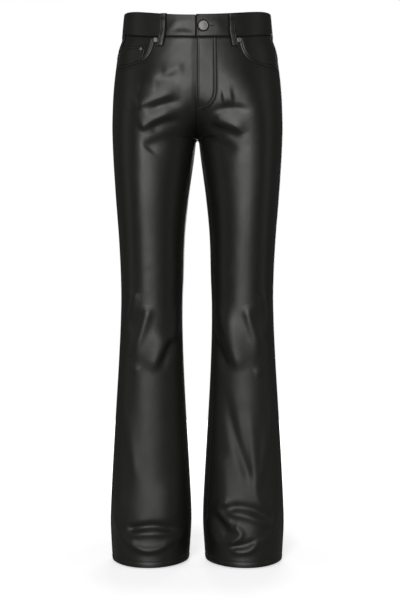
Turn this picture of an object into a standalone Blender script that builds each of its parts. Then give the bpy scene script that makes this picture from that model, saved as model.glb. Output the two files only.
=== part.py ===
"""Flared five-pocket leather trousers, held open as when worn.

The frame is in metres: +Z up, +X the wearer's left, -Y the front. The origin is the middle of
the waist opening. The tables are in millimetres, and a drop is a distance below the origin.
"""

import math

import bmesh
import bpy
import numpy as np

MM = 0.001

# Driving sizes, in millimetres
CROTCH_DROP = 256.0
HEM_DROP = 1088.0
HEM_DIP = 2.0              # how much lower the hem is at its front and back
WALL = 1.4                 # leather
LAYER_GAP = 0.3            # between pieces that lie on each other or meet at a seam
BAND_INSIDE = -1.6         # the band's two faces, from the surface of the panels
BAND_OUTSIDE = 1.2
BAND_TOP = (7.0, 25.2, -12.0)     # drops of the band's upper edge: side, front, back
BAND_SEAM = (45.0, 69.2, 32.5)    # drops of the seam under it
BAND_LIFT = 1.3            # how much higher the lapping end is
FLY_LAP = 2.5              # the left front's edge, past the middle
FLY_END_DROP = 206.0
LEAN = 0.5                 # the lower legs stand this much to the wearer's right
HEM_TURN = 34.0            # height of the turned hem
HEM_WALL = 2.7
YOKE_DROP_SIDE = 82.0
YOKE_DROP_BACK = 112.0
SQUARENESS = 2.15          # exponent of the sections' superellipses
KNEE_DROP = 600.0
# How far forward of the sides of the sections the seams run, and how much more lower down
INSEAM_TURN = math.radians(18)
INSEAM_SWING = math.radians(8)
SIDE_SEAM_TURN = math.radians(14)
SIDE_SEAM_SWING = math.radians(6)

# Pocket bearers and the coin pocket, which lie in layers under the front's edge
COIN_SIDE = -1
COIN_WALL = 1.2
COIN_TOP = ((101, 81.5), (150, 73.0))      # across, drop: inner and outer end of its mouth
COIN_FOOT = (110, 126)
BEARER_COLUMN = 6          # first column of the front's grid that a bearer reaches
TUCK_PART = 0.03           # how far the bearers run under the backs, and how much deeper
TUCK_DEPTH = 0.8

# Fastenings: places are across and drop
ZIP_WALL = 1.2
UNDERLAP_SIDE = -1
UNDERLAP = 32.0
UNDERLAP_RISE = 1.5        # its lower edge stays above the seam
LAP_RAMP_PART = 0.026      # where the right end starts to dip behind the left one
BUTTON_PLACE = (11, 47)
BUTTON_RADIUS = 10.0
BUTTON_STAND = 0.6
SHANK_RADIUS = 2.6
HOLE_PLAY = 0.8
HOLE_SLOT = 1.2
HOLE_LENGTH = 23.0
MOUTH_RIVET = (80.5, 71)
MOUTH_RIVET_RADIUS = 4.7
COIN_RIVET = (110, 87)
COIN_RIVET_RADIUS = 3.2

# Belt loops
LOOP_WIDTH = 13.0
LOOP_WALL = 1.8
LOOP_LENGTH = 64.0
FRONT_LOOP = ((65.5, 22.5), (72.5, 86.0))   # across and drop of the ends of its middle line
SIDE_LOOP_PART = 1.12
SIDE_LOOP_TURN = math.radians(13)
# How far the strip's inner face stands from the panels, at shares of its length
LOOP_PROFILE = ((0, 1.55), (0.1, 1.9), (0.2, 3.3), (0.34, 4.0), (0.52, 4.1), (0.68, 3.8),
                (0.78, 2.7), (0.85, 1.5), (0.92, 0.7), (1, 0.5))

# Back pockets: outline in right (round the body, to the middle) and down
BACK_POCKET_PART = 1.47
BACK_POCKET_TOP = 121.0
BACK_POCKET_TILT = 0.10
BACK_POCKET_ROUND = 212.0  # length of the back round one side at the pockets
BACK_POCKET_STEPS = 4      # straight steps along each side of the outline
BACK_POCKET_OUTLINE = ((-64, 0), (64, 0), (60, 112), (0, 134), (-60, 112))

# One row for each level section of one leg, or of one half above the crotch.
# outer and inner are the places across of its sides (inner is a guide above the crotch, where
# the section is cut at the middle), front and back its depths, ridge and seat the places across
# of its deepest lines, and span how far the cloth bridges the hollow at the middle.
SECTION_COLUMNS = ("drop", "outer", "inner", "front", "back", "ridge", "seat", "span")
SECTIONS = (
    (-15, 143.0, -143.0, 92.0, 84.0, 0, 0, 1.0),
    (0, 144.4, -144.4, 94.0, 87.0, 0, 0, 1.0),
    (15, 146.2, -146.2, 95.8, 89.5, 0, 0, 1.0),
    (30, 147.6, -147.6, 97.4, 92.0, 0, 0, 1.0),
    (45, 148.9, -148.5, 98.8, 95.0, 0, 2, 1.0),
    (55, 149.8, -148.0, 99.6, 97.2, 0, 6, 1.0),
    (75, 156.3, -140.0, 101.4, 102.0, 4, 22, 1.0),
    (115, 162.8, -110.0, 103.0, 112.0, 22, 55, 1.0),
    (165, 167.8, -60.0, 103.2, 118.5, 66, 78, 0.88),
    (205, 169.5, -28.0, 100.2, 117.0, 90, 86, 0.62),
    (235, 170.0, -10.5, 96.2, 110.5, 98, 89, 0.22),
    (256, 169.5, 0.0, 93.6, 104.5, 100, 90, 0.0),
    (262, 169.3, 3.3, 93.2, 102.8, 100, 90, 0.0),
    (275, 168.8, 4.9, 92.0, 100.0, 101, 90, 0.0),
    (295, 167.8, 7.2, 91.0, 97.0, 101, 89, 0.0),
    (335, 165.3, 12.4, 88.5, 92.5, 101, 89, 0.0),
    (375, 162.5, 17.6, 86.0, 88.0, 100, 89, 0.0),
    (455, 156.3, 24.9, 78.0, 78.0, 97, 89, 0.0),
    (535, 152.4, 27.2, 70.5, 70.5, 95, 90, 0.0),
    (575, 151.8, 28.8, 67.5, 68.0, 94, 91, 0.0),
    (615, 152.7, 29.1, 66.5, 69.0, 94, 91, 0.0),
    (695, 156.3, 27.2, 67.5, 76.0, 96, 92, 0.0),
    (775, 161.0, 23.5, 71.5, 84.0, 98, 93, 0.0),
    (855, 165.7, 18.8, 77.0, 91.0, 98, 93, 0.0),
    (935, 169.9, 14.3, 84.0, 97.0, 97, 93, 0.0),
    (975, 171.7, 12.2, 90.0, 99.0, 96, 93, 0.0),
    (1015, 172.7, 11.5, 95.5, 100.5, 95, 93, 0.0),
    (1055, 170.9, 13.8, 100.5, 102.0, 94, 93, 0.0),
    (1090, 168.7, 16.3, 104.0, 103.0, 93, 92, 0.0),
)

# Soft folds. x is across, signed, and drop is down, along the fold's line. rise is its height
# (a trough is below zero) and reach is half of its width.
FRONT_FOLDS = (
    # wearer's right hip
    (1.4, 12, ((-70, 141), (-22, 125))),
    (-1.4, 9, ((-86, 154), (-33, 142))),
    (1.6, 11, ((-120, 164), (-70, 171))),
    (3.2, 10, ((-118, 202), (-106, 197), (-69, 184), (-28, 169))),
    (-3.2, 9, ((-103, 214), (-66, 200), (-24, 188))),
    (3.4, 10, ((-112, 246), (-101, 238), (-69, 221), (-30, 209))),
    (-3.0, 8, ((-96, 247), (-69, 235), (-26, 226))),
    (-3.2, 10, ((-100, 286), (-90, 277), (-58, 263), (-9, 252))),
    # wearer's left hip
    (2.4, 15, ((46, 188), (70, 184))),
    (-3.2, 9, ((20, 218), (51, 207), (74, 206), (112, 212))),
    (3.2, 9, ((24, 220), (45, 230), (72, 240), (98, 254))),
    (-3.0, 8, ((14, 234), (39, 244), (63, 253), (96, 263))),
    (-3.2, 10, ((10, 255), (26, 263), (51, 276), (86, 291))),
    # right knee
    (3.2, 10, ((-121, 555), (-128, 581), (-146, 626))),
    (4.2, 11, ((-91, 586), (-99, 608), (-113, 650), (-127, 693))),
    (2.0, 8, ((-120, 635), (-134, 667), (-139, 689))),
    (6.0, 12, ((-57, 633), (-69, 665), (-80, 692), (-93, 719))),
    (-5.0, 9, ((-42, 646), (-57, 676), (-75, 718))),
    (2.6, 10, ((-129, 705), (-114, 715))),
    (2.4, 7, ((-32, 575), (-41, 626), (-52, 672))),
    # left knee
    (3.2, 10, ((124, 553), (135, 592), (147, 626))),
    (4.2, 11, ((95, 584), (100, 608), (112, 647), (126, 688))),
    (2.0, 8, ((110, 616), (126, 647), (139, 674), (135, 705))),
    (6.0, 12, ((43, 577), (56, 631), (71, 684), (86, 719))),
    (-4.5, 9, ((28, 622), (44, 676), (64, 720))),
    (2.6, 10, ((129, 711), (112, 719))),
    (2.2, 7, ((33, 572), (40, 625), (51, 683))),
    # right shin
    (3.0, 9, ((-147, 755), (-138, 821), (-127, 885), (-120, 937))),
    (4.0, 26, ((-53, 955), (-53, 985))),
    (3.0, 19, ((-148, 975), (-150, 1000))),
    # left shin
    (-4.0, 10, ((50, 728), (70, 827), (92, 896), (107, 938))),
    (3.0, 10, ((98, 755), (109, 868), (113, 938), (121, 966), (146, 1002))),
    (2.4, 8, ((150, 744), (139, 827), (128, 896), (125, 948))),
    (3.6, 15, ((48, 895), (53, 962))),
    # break above the right hem
    (-5.2, 8, ((-137, 1021), (-123, 1016), (-85, 1011), (-57, 1016), (-36, 1025))),
    (2.6, 6, ((-139, 1030), (-95, 1026), (-37, 1027))),
    (4.2, 7, ((-139, 1033), (-123, 1049), (-98, 1057), (-68, 1052), (-38, 1031))),
    (2.0, 7, ((-163, 994), (-153, 1025), (-134, 1046))),
    (2.0, 7, ((-16, 994), (-24, 1027), (-46, 1049))),
    # break above the left hem
    (3.4, 7, ((64, 967), (50, 972), (42, 982), (50, 997), (70, 1010))),
    (3.6, 7, ((70, 1010), (84, 1025), (78, 1036), (60, 1047))),
    (-4.2, 8, ((51, 979), (84, 975), (114, 983), (147, 1006))),
    (3.0, 7, ((53, 988), (86, 991), (125, 1004), (146, 1013))),
    (-5.6, 11, ((41, 1003), (55, 1024))),
    (-3.0, 6, ((61, 1050), (86, 1048), (117, 1037))),
    (3.0, 6, ((61, 1057), (84, 1060), (103, 1056), (119, 1040))),
    (2.0, 7, ((16, 994), (26, 1030), (45, 1052))),
    (2.0, 7, ((153, 988), (150, 1007), (138, 1032), (122, 1046))),
)
BACK_FOLDS = (
    # under the seat
    (3.4, 12, ((-14, 262), (-58, 270), (-112, 252))),
    (-3.4, 10, ((-16, 280), (-62, 287), (-118, 270))),
    (2.6, 11, ((-22, 298), (-66, 305), (-112, 292))),
    (-2.2, 9, ((-26, 314), (-64, 322), (-104, 314))),
    (3.2, 12, ((16, 264), (62, 266), (116, 246))),
    (-3.4, 10, ((14, 283), (58, 284), (112, 264))),
    (2.8, 11, ((22, 302), (70, 302), (120, 286))),
    (-2.0, 9, ((28, 318), (68, 319), (108, 308))),
    # seat, from the sides to the middle
    (2.2, 12, ((-118, 176), (-64, 196), (-24, 222))),
    (-2.2, 10, ((-122, 196), (-70, 215), (-30, 238))),
    (2.2, 12, ((122, 170), (70, 192), (26, 218))),
    (-2.2, 10, ((124, 190), (74, 211), (30, 236))),
    # behind the knees
    (3.6, 10, ((-44, 548), (-92, 562), (-140, 548))),
    (-4.0, 9, ((-40, 566), (-88, 580), (-142, 564))),
    (4.4, 10, ((-38, 584), (-84, 599), (-136, 588))),
    (-4.0, 9, ((-40, 604), (-86, 618), (-138, 610))),
    (3.4, 10, ((-44, 625), (-90, 637), (-134, 632))),
    (3.4, 10, ((46, 552), (94, 560), (138, 542))),
    (-4.0, 9, ((40, 570), (92, 578), (142, 559))),
    (4.4, 10, ((38, 588), (88, 598), (140, 580))),
    (-4.0, 9, ((42, 607), (92, 617), (136, 602))),
    (3.2, 10, ((48, 628), (96, 636), (134, 624))),
    # calves
    (3.2, 13, ((-66, 690), (-78, 770), (-70, 850))),
    (-2.8, 12, ((-112, 700), (-120, 790), (-112, 872))),
    (3.0, 13, ((70, 700), (80, 776), (72, 856))),
    (-2.8, 12, ((116, 690), (124, 780), (114, 866))),
    # breaks above the hems
    (3.4, 9, ((-34, 992), (-88, 1008), (-150, 990))),
    (-4.2, 9, ((-30, 1010), (-86, 1027), (-152, 1008))),
    (3.2, 8, ((-36, 1030), (-88, 1044), (-146, 1028))),
    (3.4, 9, ((32, 1000), (94, 1006), (150, 984))),
    (-4.2, 9, ((32, 1019), (96, 1024), (152, 1002))),
    (3.2, 8, ((40, 1038), (98, 1042), (144, 1022))),
)

SHARP_ANGLE = 40           # faces that meet at more than this, in degrees, shade as an edge

# Colour, roughness and metallic value of each material
MATERIALS = {
    "leather": ((0.012, 0.012, 0.013), 0.42, 0.0),
    "nickel": ((0.40, 0.385, 0.36), 0.38, 1.0),
    "zip": ((0.02, 0.02, 0.021), 0.6, 0.0),
}


# ---------------------------------------------------------------- smooth tables

def smooth_table(places, values, at):
    """A smooth curve through the rows of a table, held level past its ends."""
    places = np.asarray(places, float)
    values = np.asarray(values, float)
    at = np.clip(at, places[0], places[-1])
    steps = np.diff(places)
    rates = np.diff(values) / steps
    slopes = np.concatenate(([rates[0]], rates, ))
    slopes[1:-1] = (steps[1:] * rates[:-1] + steps[:-1] * rates[1:]) / (steps[1:] + steps[:-1])
    row = np.clip(np.searchsorted(places, at, side="right") - 1, 0, len(steps) - 1)
    step = steps[row]
    share = (at - places[row]) / step
    return (values[row] * (1 + 2 * share) * (1 - share) ** 2
            + values[row + 1] * share ** 2 * (3 - 2 * share)
            + slopes[row] * step * share * (1 - share) ** 2
            + slopes[row + 1] * step * share ** 2 * (share - 1))


def ease(value):
    """0 to 1, smooth at both ends."""
    value = np.clip(value, 0.0, 1.0)
    return value * value * (3 - 2 * value)


SECTION_DROPS = np.array([row[0] for row in SECTIONS], float)


def from_crotch(drop):
    """Root of the distance from the crotch, in which the gap between the legs opens evenly."""
    away = np.asarray(drop, float) - CROTCH_DROP
    return np.sign(away) * np.sqrt(np.abs(away))


def section_at(drop):
    """The columns of the section table at each drop."""
    section = {}
    for index, name in enumerate(SECTION_COLUMNS[1:], 1):
        column = [row[index] for row in SECTIONS]
        if name == "inner":
            section[name] = smooth_table(from_crotch(SECTION_DROPS), column, from_crotch(drop))
        else:
            section[name] = smooth_table(SECTION_DROPS, column, drop)
    return section


# ---------------------------------------------------------------- the smooth body of the cloth

def ring(section, turn):
    """Places across and forward on a section. The turn runs from the inner side (0) over the
    front (a quarter) and the outer side (a half) to the back (three quarters)."""
    cosine = np.cos(turn)
    sine = np.sin(turn)
    in_front = sine > 0
    middle = np.where(in_front, section["ridge"], section["seat"])
    depth = np.where(in_front, section["front"], section["back"])
    half = np.where(cosine > 0, middle - section["inner"], section["outer"] - middle)
    across = middle - half * np.sign(cosine) * np.abs(cosine) ** (2 / SQUARENESS)
    fullness = np.abs(sine) ** (2 / SQUARENESS)
    bridged = np.where(cosine > 0, section["span"], 0.0)
    forward = -np.sign(sine) * depth * (1 - (1 - bridged) * (1 - fullness))
    forward = np.where(np.abs(sine) < 1e-9, 0.0, forward)
    return across, forward


def turn_where(section, across, face):
    """The turn at which the front (face "ridge") or the back ("seat") is at a place across."""
    middle = section[face]
    inward = across < middle
    share = np.where(inward, (middle - across) / (middle - section["inner"]),
                     (across - middle) / (section["outer"] - middle))
    angle = np.arccos(np.clip(share, 0, 1) ** (SQUARENESS / 2))
    turn = np.where(inward, angle, math.pi - angle)
    return turn if face == "ridge" else 2 * math.pi - turn


def fly_edge(side, drop):
    """Where the fronts meet, across from the middle, measured outward on each side."""
    lap = FLY_LAP * ease((FLY_END_DROP - np.asarray(drop, float)) / 22)
    return -side * lap


def seam_turns(side, section, drop):
    """Turns of the front edge, the side seam and the back edge of one side's panels."""
    above = np.asarray(drop, float) < CROTCH_DROP
    inseam = (INSEAM_TURN * ease((drop - CROTCH_DROP) / 150)
              + INSEAM_SWING * ease((drop - KNEE_DROP) / 250))
    first = np.where(above, turn_where(section, fly_edge(side, drop), "ridge"), inseam)
    last = np.where(above, turn_where(section, 0.0, "seat"), 2 * math.pi + inseam)
    side_seam = math.pi - SIDE_SEAM_TURN - SIDE_SEAM_SWING * ease((drop - 80) / 200)
    return first, side_seam, last


def turn_at(side, part, drop):
    """Turn of a point part-way round one side, measured along the cloth: 0 at the front edge
    or inseam, 1 at the side seam, 2 at the centre back or inseam."""
    section = section_at(drop)
    first, seam, last = seam_turns(side, section, drop)
    in_front = part <= 1
    low = np.where(in_front, first, seam)
    high = np.where(in_front, seam, last)
    target = np.where(in_front, part, part - 1)
    shares = np.linspace(0, 1, 65)
    turns = low[..., None] + (high - low)[..., None] * shares
    wide = {name: value[..., None] for name, value in section.items()}
    across, forward = ring(wide, turns)
    pieces = np.hypot(np.diff(across), np.diff(forward))
    lengths = np.concatenate((np.zeros(pieces.shape[:-1] + (1,)), np.cumsum(pieces, -1)), -1)
    wanted = target * lengths[..., -1]
    index = np.clip((lengths < wanted[..., None]).sum(-1), 1, len(shares) - 1)[..., None]
    before = np.take_along_axis(lengths, index - 1, -1)[..., 0]
    after = np.take_along_axis(lengths, index, -1)[..., 0]
    low_turn = np.take_along_axis(turns, index - 1, -1)[..., 0]
    high_turn = np.take_along_axis(turns, index, -1)[..., 0]
    share = np.where(after > before, (wanted - before) / np.maximum(after - before, 1e-9), 0)
    return low_turn + (high_turn - low_turn) * share


def bare_point(side, turn, drop):
    """The smooth surface, without folds."""
    across, forward = ring(section_at(drop), turn)
    lean = LEAN * ease((np.asarray(drop, float) - 250) / 350)
    return np.stack((side * across - lean, forward, -np.asarray(drop, float)), -1)


def normal_of(surface, side, turn, drop):
    """Outward normal of a surface given as a function of side, turn and drop."""
    round_step = 0.012
    down_step = 1.2
    around = surface(side, turn + round_step, drop) - surface(side, turn - round_step, drop)
    down = surface(side, turn, drop + down_step) - surface(side, turn, drop - down_step)
    normal = side * np.cross(around, down)
    return -normal / np.maximum(np.linalg.norm(normal, axis=-1, keepdims=True), 1e-9)


# ---------------------------------------------------------------- folds

def fold_line(points):
    """A smooth line through a fold's points."""
    points = np.array(points, float)
    if len(points) == 2:
        return points
    ends = np.concatenate((points[:1] * 2 - points[1:2], points, points[-1:] * 2 - points[-2:-1]))
    line = []
    for index in range(1, len(ends) - 2):
        before, start, end, after = ends[index - 1:index + 3]
        for share in (0.0, 0.25, 0.5, 0.75):
            line.append(0.5 * (2 * start + (end - before) * share
                               + (2 * before - 5 * start + 4 * end - after) * share ** 2
                               + (3 * start - before - 3 * end + after) * share ** 3))
    line.append(points[-1])
    return np.array(line)


def fold_height(folds, across, drop):
    """Sum of the folds of one face at places across and down."""
    height = np.zeros(np.shape(across))
    for rise, reach, points in folds:
        line = fold_line(points)
        low = line.min(0) - 3 * reach
        high = line.max(0) + 3 * reach
        near = (across > low[0]) & (across < high[0]) & (drop > low[1]) & (drop < high[1])
        if not near.any():
            continue
        here = np.stack((across[near], drop[near]), -1)
        distance = np.full(len(here), np.inf)
        for start, end in zip(line[:-1], line[1:]):
            along = end - start
            share = np.clip((here - start) @ along / (along @ along), 0, 1)
            offset = here - start - share[:, None] * along
            distance = np.minimum(distance, np.hypot(offset[:, 0], offset[:, 1]))
        height[near] += rise * np.exp(-(distance / reach) ** 2)
    return height


def draped_point(side, turn, drop):
    """The outer face of the cloth, with its folds."""
    turn, drop = np.broadcast_arrays(np.asarray(turn, float), np.asarray(drop, float))
    point = bare_point(side, turn, drop)
    across = point[..., 0]
    front_share = ease((np.sin(turn) + 0.35) / 0.6)
    height = front_share * fold_height(FRONT_FOLDS, across, drop)
    height = height + (1 - front_share) * fold_height(BACK_FOLDS, across, drop)
    return point + normal_of(bare_point, side, turn, drop) * height[..., None]


def cloth(side, part, drop):
    """Points and outward normals of the cloth at a grid of parts and drops."""
    turn = turn_at(side, part, drop)
    return draped_point(side, turn, drop), normal_of(draped_point, side, turn, drop)


# ---------------------------------------------------------------- edges of the pieces

def depth_share(part):
    """How far forward (or backward) of the side a part of the waist is, 0 to 1."""
    part = np.asarray(part, float)
    level = np.full(part.shape, 20.0)
    forward = ring(section_at(level), turn_at(1, part, level))[1]
    section = section_at(level)
    share = np.where(forward < 0, -forward / section["front"], forward / section["back"])
    return np.clip(share, 0, 1), forward < 0


def band_edge(part, drops, front_power):
    """Drop of one edge of the band, from its drops at the side, the front and the back."""
    share, in_front = depth_share(part)
    side, front, back = drops
    return np.where(in_front, side + (front - side) * share ** front_power,
                    side + (back - side) * share ** 1.6)


def band_top(side, part):
    """Drop of the band's upper edge."""
    lift = BAND_LIFT * (1 - ease(part)) if side > 0 else 0.0
    return band_edge(part, BAND_TOP, 2.8) - lift


def band_seam(part):
    """Drop of the seam under the band."""
    return band_edge(part, BAND_SEAM, 1.2)


def yoke_seam(part):
    """Drop of the seam under a yoke, from the side seam to the centre back."""
    share = np.asarray(part, float) - 1
    return YOKE_DROP_SIDE + (YOKE_DROP_BACK - YOKE_DROP_SIDE) * share + 3 * np.sin(math.pi * share)


# The pocket mouth runs from POCKET_PART on the band seam to the side seam.
POCKET_PART = 0.485
POCKET_DEPTH = 54.0
MOUTH_ROUNDNESS = 0.6


def mouth_point(share):
    """Part and drop of the pocket mouth's edge; share runs from the band to the side seam."""
    angle = share * math.pi / 2
    part = POCKET_PART + (1 - POCKET_PART) * (1 - np.cos(angle) ** MOUTH_ROUNDNESS)
    start = band_seam(np.array([POCKET_PART]))[0]
    drop = start + POCKET_DEPTH * np.sin(angle) ** MOUTH_ROUNDNESS - 4 * share ** 6
    return part, drop


# ---------------------------------------------------------------- rows and columns of the grids

# Rows above HIP_DROP, as shares of the way down to it
FRONT_UPPER = (0, 0.12, 0.3, 0.52, 0.76)
BACK_UPPER = (0, 0.5)
FRONT_PARTS = np.concatenate((np.linspace(0, POCKET_PART, 8), np.linspace(POCKET_PART, 1, 8)[1:]))
BACK_PARTS = np.linspace(1, 2, 14)
HIP_DROP = 138.0
CROTCH_ROWS = 4
LEG_DROPS = np.array([326, 362, 400, 440, 480, 516, 545, 568, 590, 612, 634, 656, 678, 700, 724,
                      756, 790, 824, 858, 890, 920, 948, 972, 992, 1008, 1022, 1035, 1047, 1054,
                      1070, HEM_DROP])


def rows_below_hip(part):
    """Drops of the rows below HIP_DROP at each part: close together at the crotch where the
    middle edge turns under, even at the side seam."""
    part = np.asarray(part, float)
    from_middle = np.where(part <= 1, part, 2 - part)
    steps = np.arange(-CROTCH_ROWS, CROTCH_ROWS + 1) / CROTCH_ROWS
    half = 58.0
    rows = [np.full(part.shape, drop) for drop in (HIP_DROP, 158.0, 179.0)]
    spread = ease(from_middle / 0.55)
    for step in steps:
        close = CROTCH_DROP + half * np.sign(step) * step * step
        even = CROTCH_DROP + half * step
        rows.append(close + (even - close) * spread)
    rows += [np.full(part.shape, drop) for drop in LEG_DROPS]
    rows = np.stack(rows)
    fullness = np.sin(math.pi * from_middle) ** 2
    low = ease((rows - HEM_DROP + 60) / 60)
    return rows + HEM_DIP * fullness * low


def panel_grid(parts, top, upper):
    """Parts and drops of a panel: sheared rows from its top edge to the hip, then the rows
    that all panels share."""
    upper_drops = top + (HIP_DROP - top) * np.array(upper)[:, None]
    drops = np.concatenate((upper_drops, rows_below_hip(parts)))
    return np.broadcast_to(parts, drops.shape), drops


# ---------------------------------------------------------------- solids

def material(name):
    existing = bpy.data.materials.get(name)
    if existing:
        return existing
    colour, roughness, metallic = MATERIALS[name]
    made = bpy.data.materials.new(name)
    made.use_nodes = True
    shader = made.node_tree.nodes["Principled BSDF"]
    shader.inputs["Base Color"].default_value = (*colour, 1)
    shader.inputs["Roughness"].default_value = roughness
    shader.inputs["Metallic"].default_value = metallic
    return made


def add_object(name, mesh, finish):
    """Puts a finished mesh in the scene, facing out and shaded smooth."""
    editor = bmesh.new()
    editor.from_mesh(mesh)
    bmesh.ops.recalc_face_normals(editor, faces=editor.faces)
    editor.to_mesh(mesh)
    editor.free()
    mesh.shade_smooth()
    mesh.set_sharp_from_angle(angle=math.radians(SHARP_ANGLE))
    piece = bpy.data.objects.new(name, mesh)
    bpy.context.scene.collection.objects.link(piece)
    own = material(finish).copy()
    own.name = name
    piece.data.materials.append(own)
    return piece


def draw_in(points, borders, gap=LAYER_GAP / 2):
    """Moves the named borders of a grid of points inward along the cloth."""
    points = points.copy()
    rows = {"top": (0, 1), "bottom": (-1, -2)}
    for border in borders:
        if border in rows:
            edge, beside = rows[border]
            step = points[beside] - points[edge]
            points[edge] += gap * step / np.linalg.norm(step, axis=-1, keepdims=True)
    columns = {"first": (0, 1), "last": (-1, -2)}
    for border in borders:
        if border in columns:
            edge, beside = columns[border]
            step = points[:, beside] - points[:, edge]
            length = np.maximum(np.linalg.norm(step, axis=-1, keepdims=True), 1e-9)
            points[:, edge] += gap * step / length
    return points


def keep_to_side(points, side, front, middle=None):
    """Keeps a panel on its own side of the middle, or of the fly's edge. The column named as
    its middle edge is brought to the seam above the crotch."""
    edge = fly_edge(side, -points[..., 2]) if front else np.zeros(points.shape[:-1])
    least = edge + LAYER_GAP / 2
    points[..., 0] = side * np.maximum(side * points[..., 0], least)
    if middle is not None:
        above = -points[:, middle, 2] < CROTCH_DROP - 0.5
        points[above, middle, 0] = side * least[above, middle]
    return points


def cloth_solid(name, outside, inside, finish="leather", guide=None):
    """A closed wall between two grids of points, in millimetres. Each cell is split along the
    shorter diagonal of the guide, so that layers on the same grid stay parallel."""
    if guide is None:
        guide = outside
    rows, columns = outside.shape[:2]
    count = rows * columns
    vertices = np.concatenate((outside.reshape(-1, 3), inside.reshape(-1, 3))) * MM
    index = np.arange(count).reshape(rows, columns)
    faces = []
    for row in range(rows - 1):
        for column in range(columns - 1):
            a = index[row, column]
            b = index[row, column + 1]
            c = index[row + 1, column + 1]
            d = index[row + 1, column]
            falling = np.linalg.norm(guide[row, column] - guide[row + 1, column + 1])
            rising = np.linalg.norm(guide[row, column + 1] - guide[row + 1, column])
            halves = ((a, b, c), (a, c, d)) if falling < rising else ((a, b, d), (b, c, d))
            for half in halves:
                faces.append(half)
                faces.append(tuple(corner + count for corner in reversed(half)))
    border = [*index[0, :-1], *index[:-1, -1], *index[-1, :0:-1], *index[:0:-1, 0]]
    for start, end in zip(border, border[1:] + border[:1]):
        faces.append((start, start + count, end + count, end))
    mesh = bpy.data.meshes.new(name)
    mesh.from_pydata([tuple(vertex) for vertex in vertices], [],
                     [tuple(int(corner) for corner in face) for face in faces])
    return add_object(name, mesh, finish)


def layered(name, points, normals, outer, inner, finish="leather"):
    """A wall between two distances from a grid of points along its normals."""
    return cloth_solid(name, points + normals * outer, points + normals * inner, finish, points)


def cutter(name, side, outline, reach=22.0):
    """A hidden block that stands through the cloth over an outline of (part, drop) points."""
    parts, drops = np.array(outline, float).T
    points, normals = cloth(side, parts, drops)
    count = len(points)
    middle, middle_normal = cloth(side, parts.mean(), drops.mean())
    vertices = np.concatenate((points + normals * reach, points - normals * reach,
                               [middle + middle_normal * reach],
                               [middle - middle_normal * reach])) * MM
    faces = []
    for start in range(count):
        end = (start + 1) % count
        faces.append((start, end, end + count, start + count))
        faces.append((start, 2 * count, end))
        faces.append((end + count, 2 * count + 1, start + count))
    mesh = bpy.data.meshes.new(name)
    mesh.from_pydata([tuple(vertex) for vertex in vertices], [], faces)
    block = add_object(name, mesh, "leather")
    block.hide_render = True
    block.display_type = "WIRE"
    return block


def cut(piece, tool, operation):
    """Cuts a piece, and makes the cut's own edges sharp."""
    modifier = piece.modifiers.new(operation.lower(), "BOOLEAN")
    modifier.operation = operation
    modifier.object = tool
    view = bpy.context.evaluated_depsgraph_get()
    mesh = bpy.data.meshes.new_from_object(piece.evaluated_get(view))
    piece.modifiers.remove(modifier)
    bpy.data.objects.remove(tool)
    mesh.set_sharp_from_angle(angle=math.radians(SHARP_ANGLE))
    mesh.name = piece.name
    piece.data = mesh


# ---------------------------------------------------------------- pieces

def side_name(side):
    return "left" if side > 0 else "right"


def wall_depths(drops):
    """Wall thickness down a panel: one leather, more where the hem is turned up."""
    return np.where(drops > HEM_DROP - HEM_TURN, HEM_WALL, WALL)[..., None]


def part_where(side, across, drop):
    """Part of the front at a place across, at one drop."""
    parts = np.linspace(0, 1, 101)
    drops = np.full(parts.shape, float(drop))
    places = ring(section_at(drops), turn_at(side, parts, drops))[0]
    return float(np.interp(across, places, parts))


def make_front(side):
    parts, drops = panel_grid(FRONT_PARTS, band_seam(FRONT_PARTS), FRONT_UPPER)
    points, normals = cloth(side, parts, drops)
    outside = draw_in(points, ("top", "first", "last"))
    inside = outside - normals * wall_depths(drops)
    keep_to_side(outside, side, True, 0)
    keep_to_side(inside, side, True)
    front = cloth_solid("front_" + side_name(side), outside, inside, guide=points)
    mouth = [mouth_point(share) for share in np.linspace(0, 1, 10)]
    above = [(part, mouth[0][1] - 55) for part in np.linspace(1.1, POCKET_PART, 5)]
    outline = mouth + [(1.1, mouth[-1][1])] + above
    cut(front, cutter("mouth_cutter_" + side_name(side), side, outline), "DIFFERENCE")
    return front


def make_back(side):
    parts, drops = panel_grid(BACK_PARTS, yoke_seam(BACK_PARTS), BACK_UPPER)
    points, normals = cloth(side, parts, drops)
    outside = draw_in(points, ("top", "first", "last"))
    inside = outside - normals * wall_depths(drops)
    keep_to_side(outside, side, False, -1)
    keep_to_side(inside, side, False)
    return cloth_solid("back_" + side_name(side), outside, inside, guide=points)


def make_yoke(side):
    share = np.linspace(0, 1, 5)[:, None]
    top = band_seam(BACK_PARTS)
    drops = top + (yoke_seam(BACK_PARTS) - top) * share
    parts = np.broadcast_to(BACK_PARTS, drops.shape)
    points, normals = cloth(side, parts, drops)
    outside = draw_in(points, ("top", "bottom", "first", "last"))
    inside = outside - normals * WALL
    keep_to_side(outside, side, False, -1)
    keep_to_side(inside, side, False)
    return cloth_solid("yoke_" + side_name(side), outside, inside, guide=points)


def pocket_grid():
    """The part of the front's grid that lies behind a pocket mouth, run under the back."""
    parts = np.append(FRONT_PARTS[BEARER_COLUMN:], 1 + TUCK_PART)
    shares = np.array(FRONT_UPPER + (1,))[:, None]
    top = band_seam(parts)
    drops = top + (HIP_DROP - top) * shares
    return np.broadcast_to(parts, drops.shape), drops


def make_bearer(side):
    parts, drops = pocket_grid()
    points, normals = cloth(side, parts, drops)
    layer = WALL + LAYER_GAP
    depth = layer + (COIN_WALL + LAYER_GAP if side == COIN_SIDE else 0)
    depths = np.where(parts > 1, depth + TUCK_DEPTH, depth)[..., None]
    return cloth_solid("pocket_bearer_" + side_name(side), points - normals * depths,
                       points - normals * (depths + COIN_WALL), guide=points)


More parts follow.
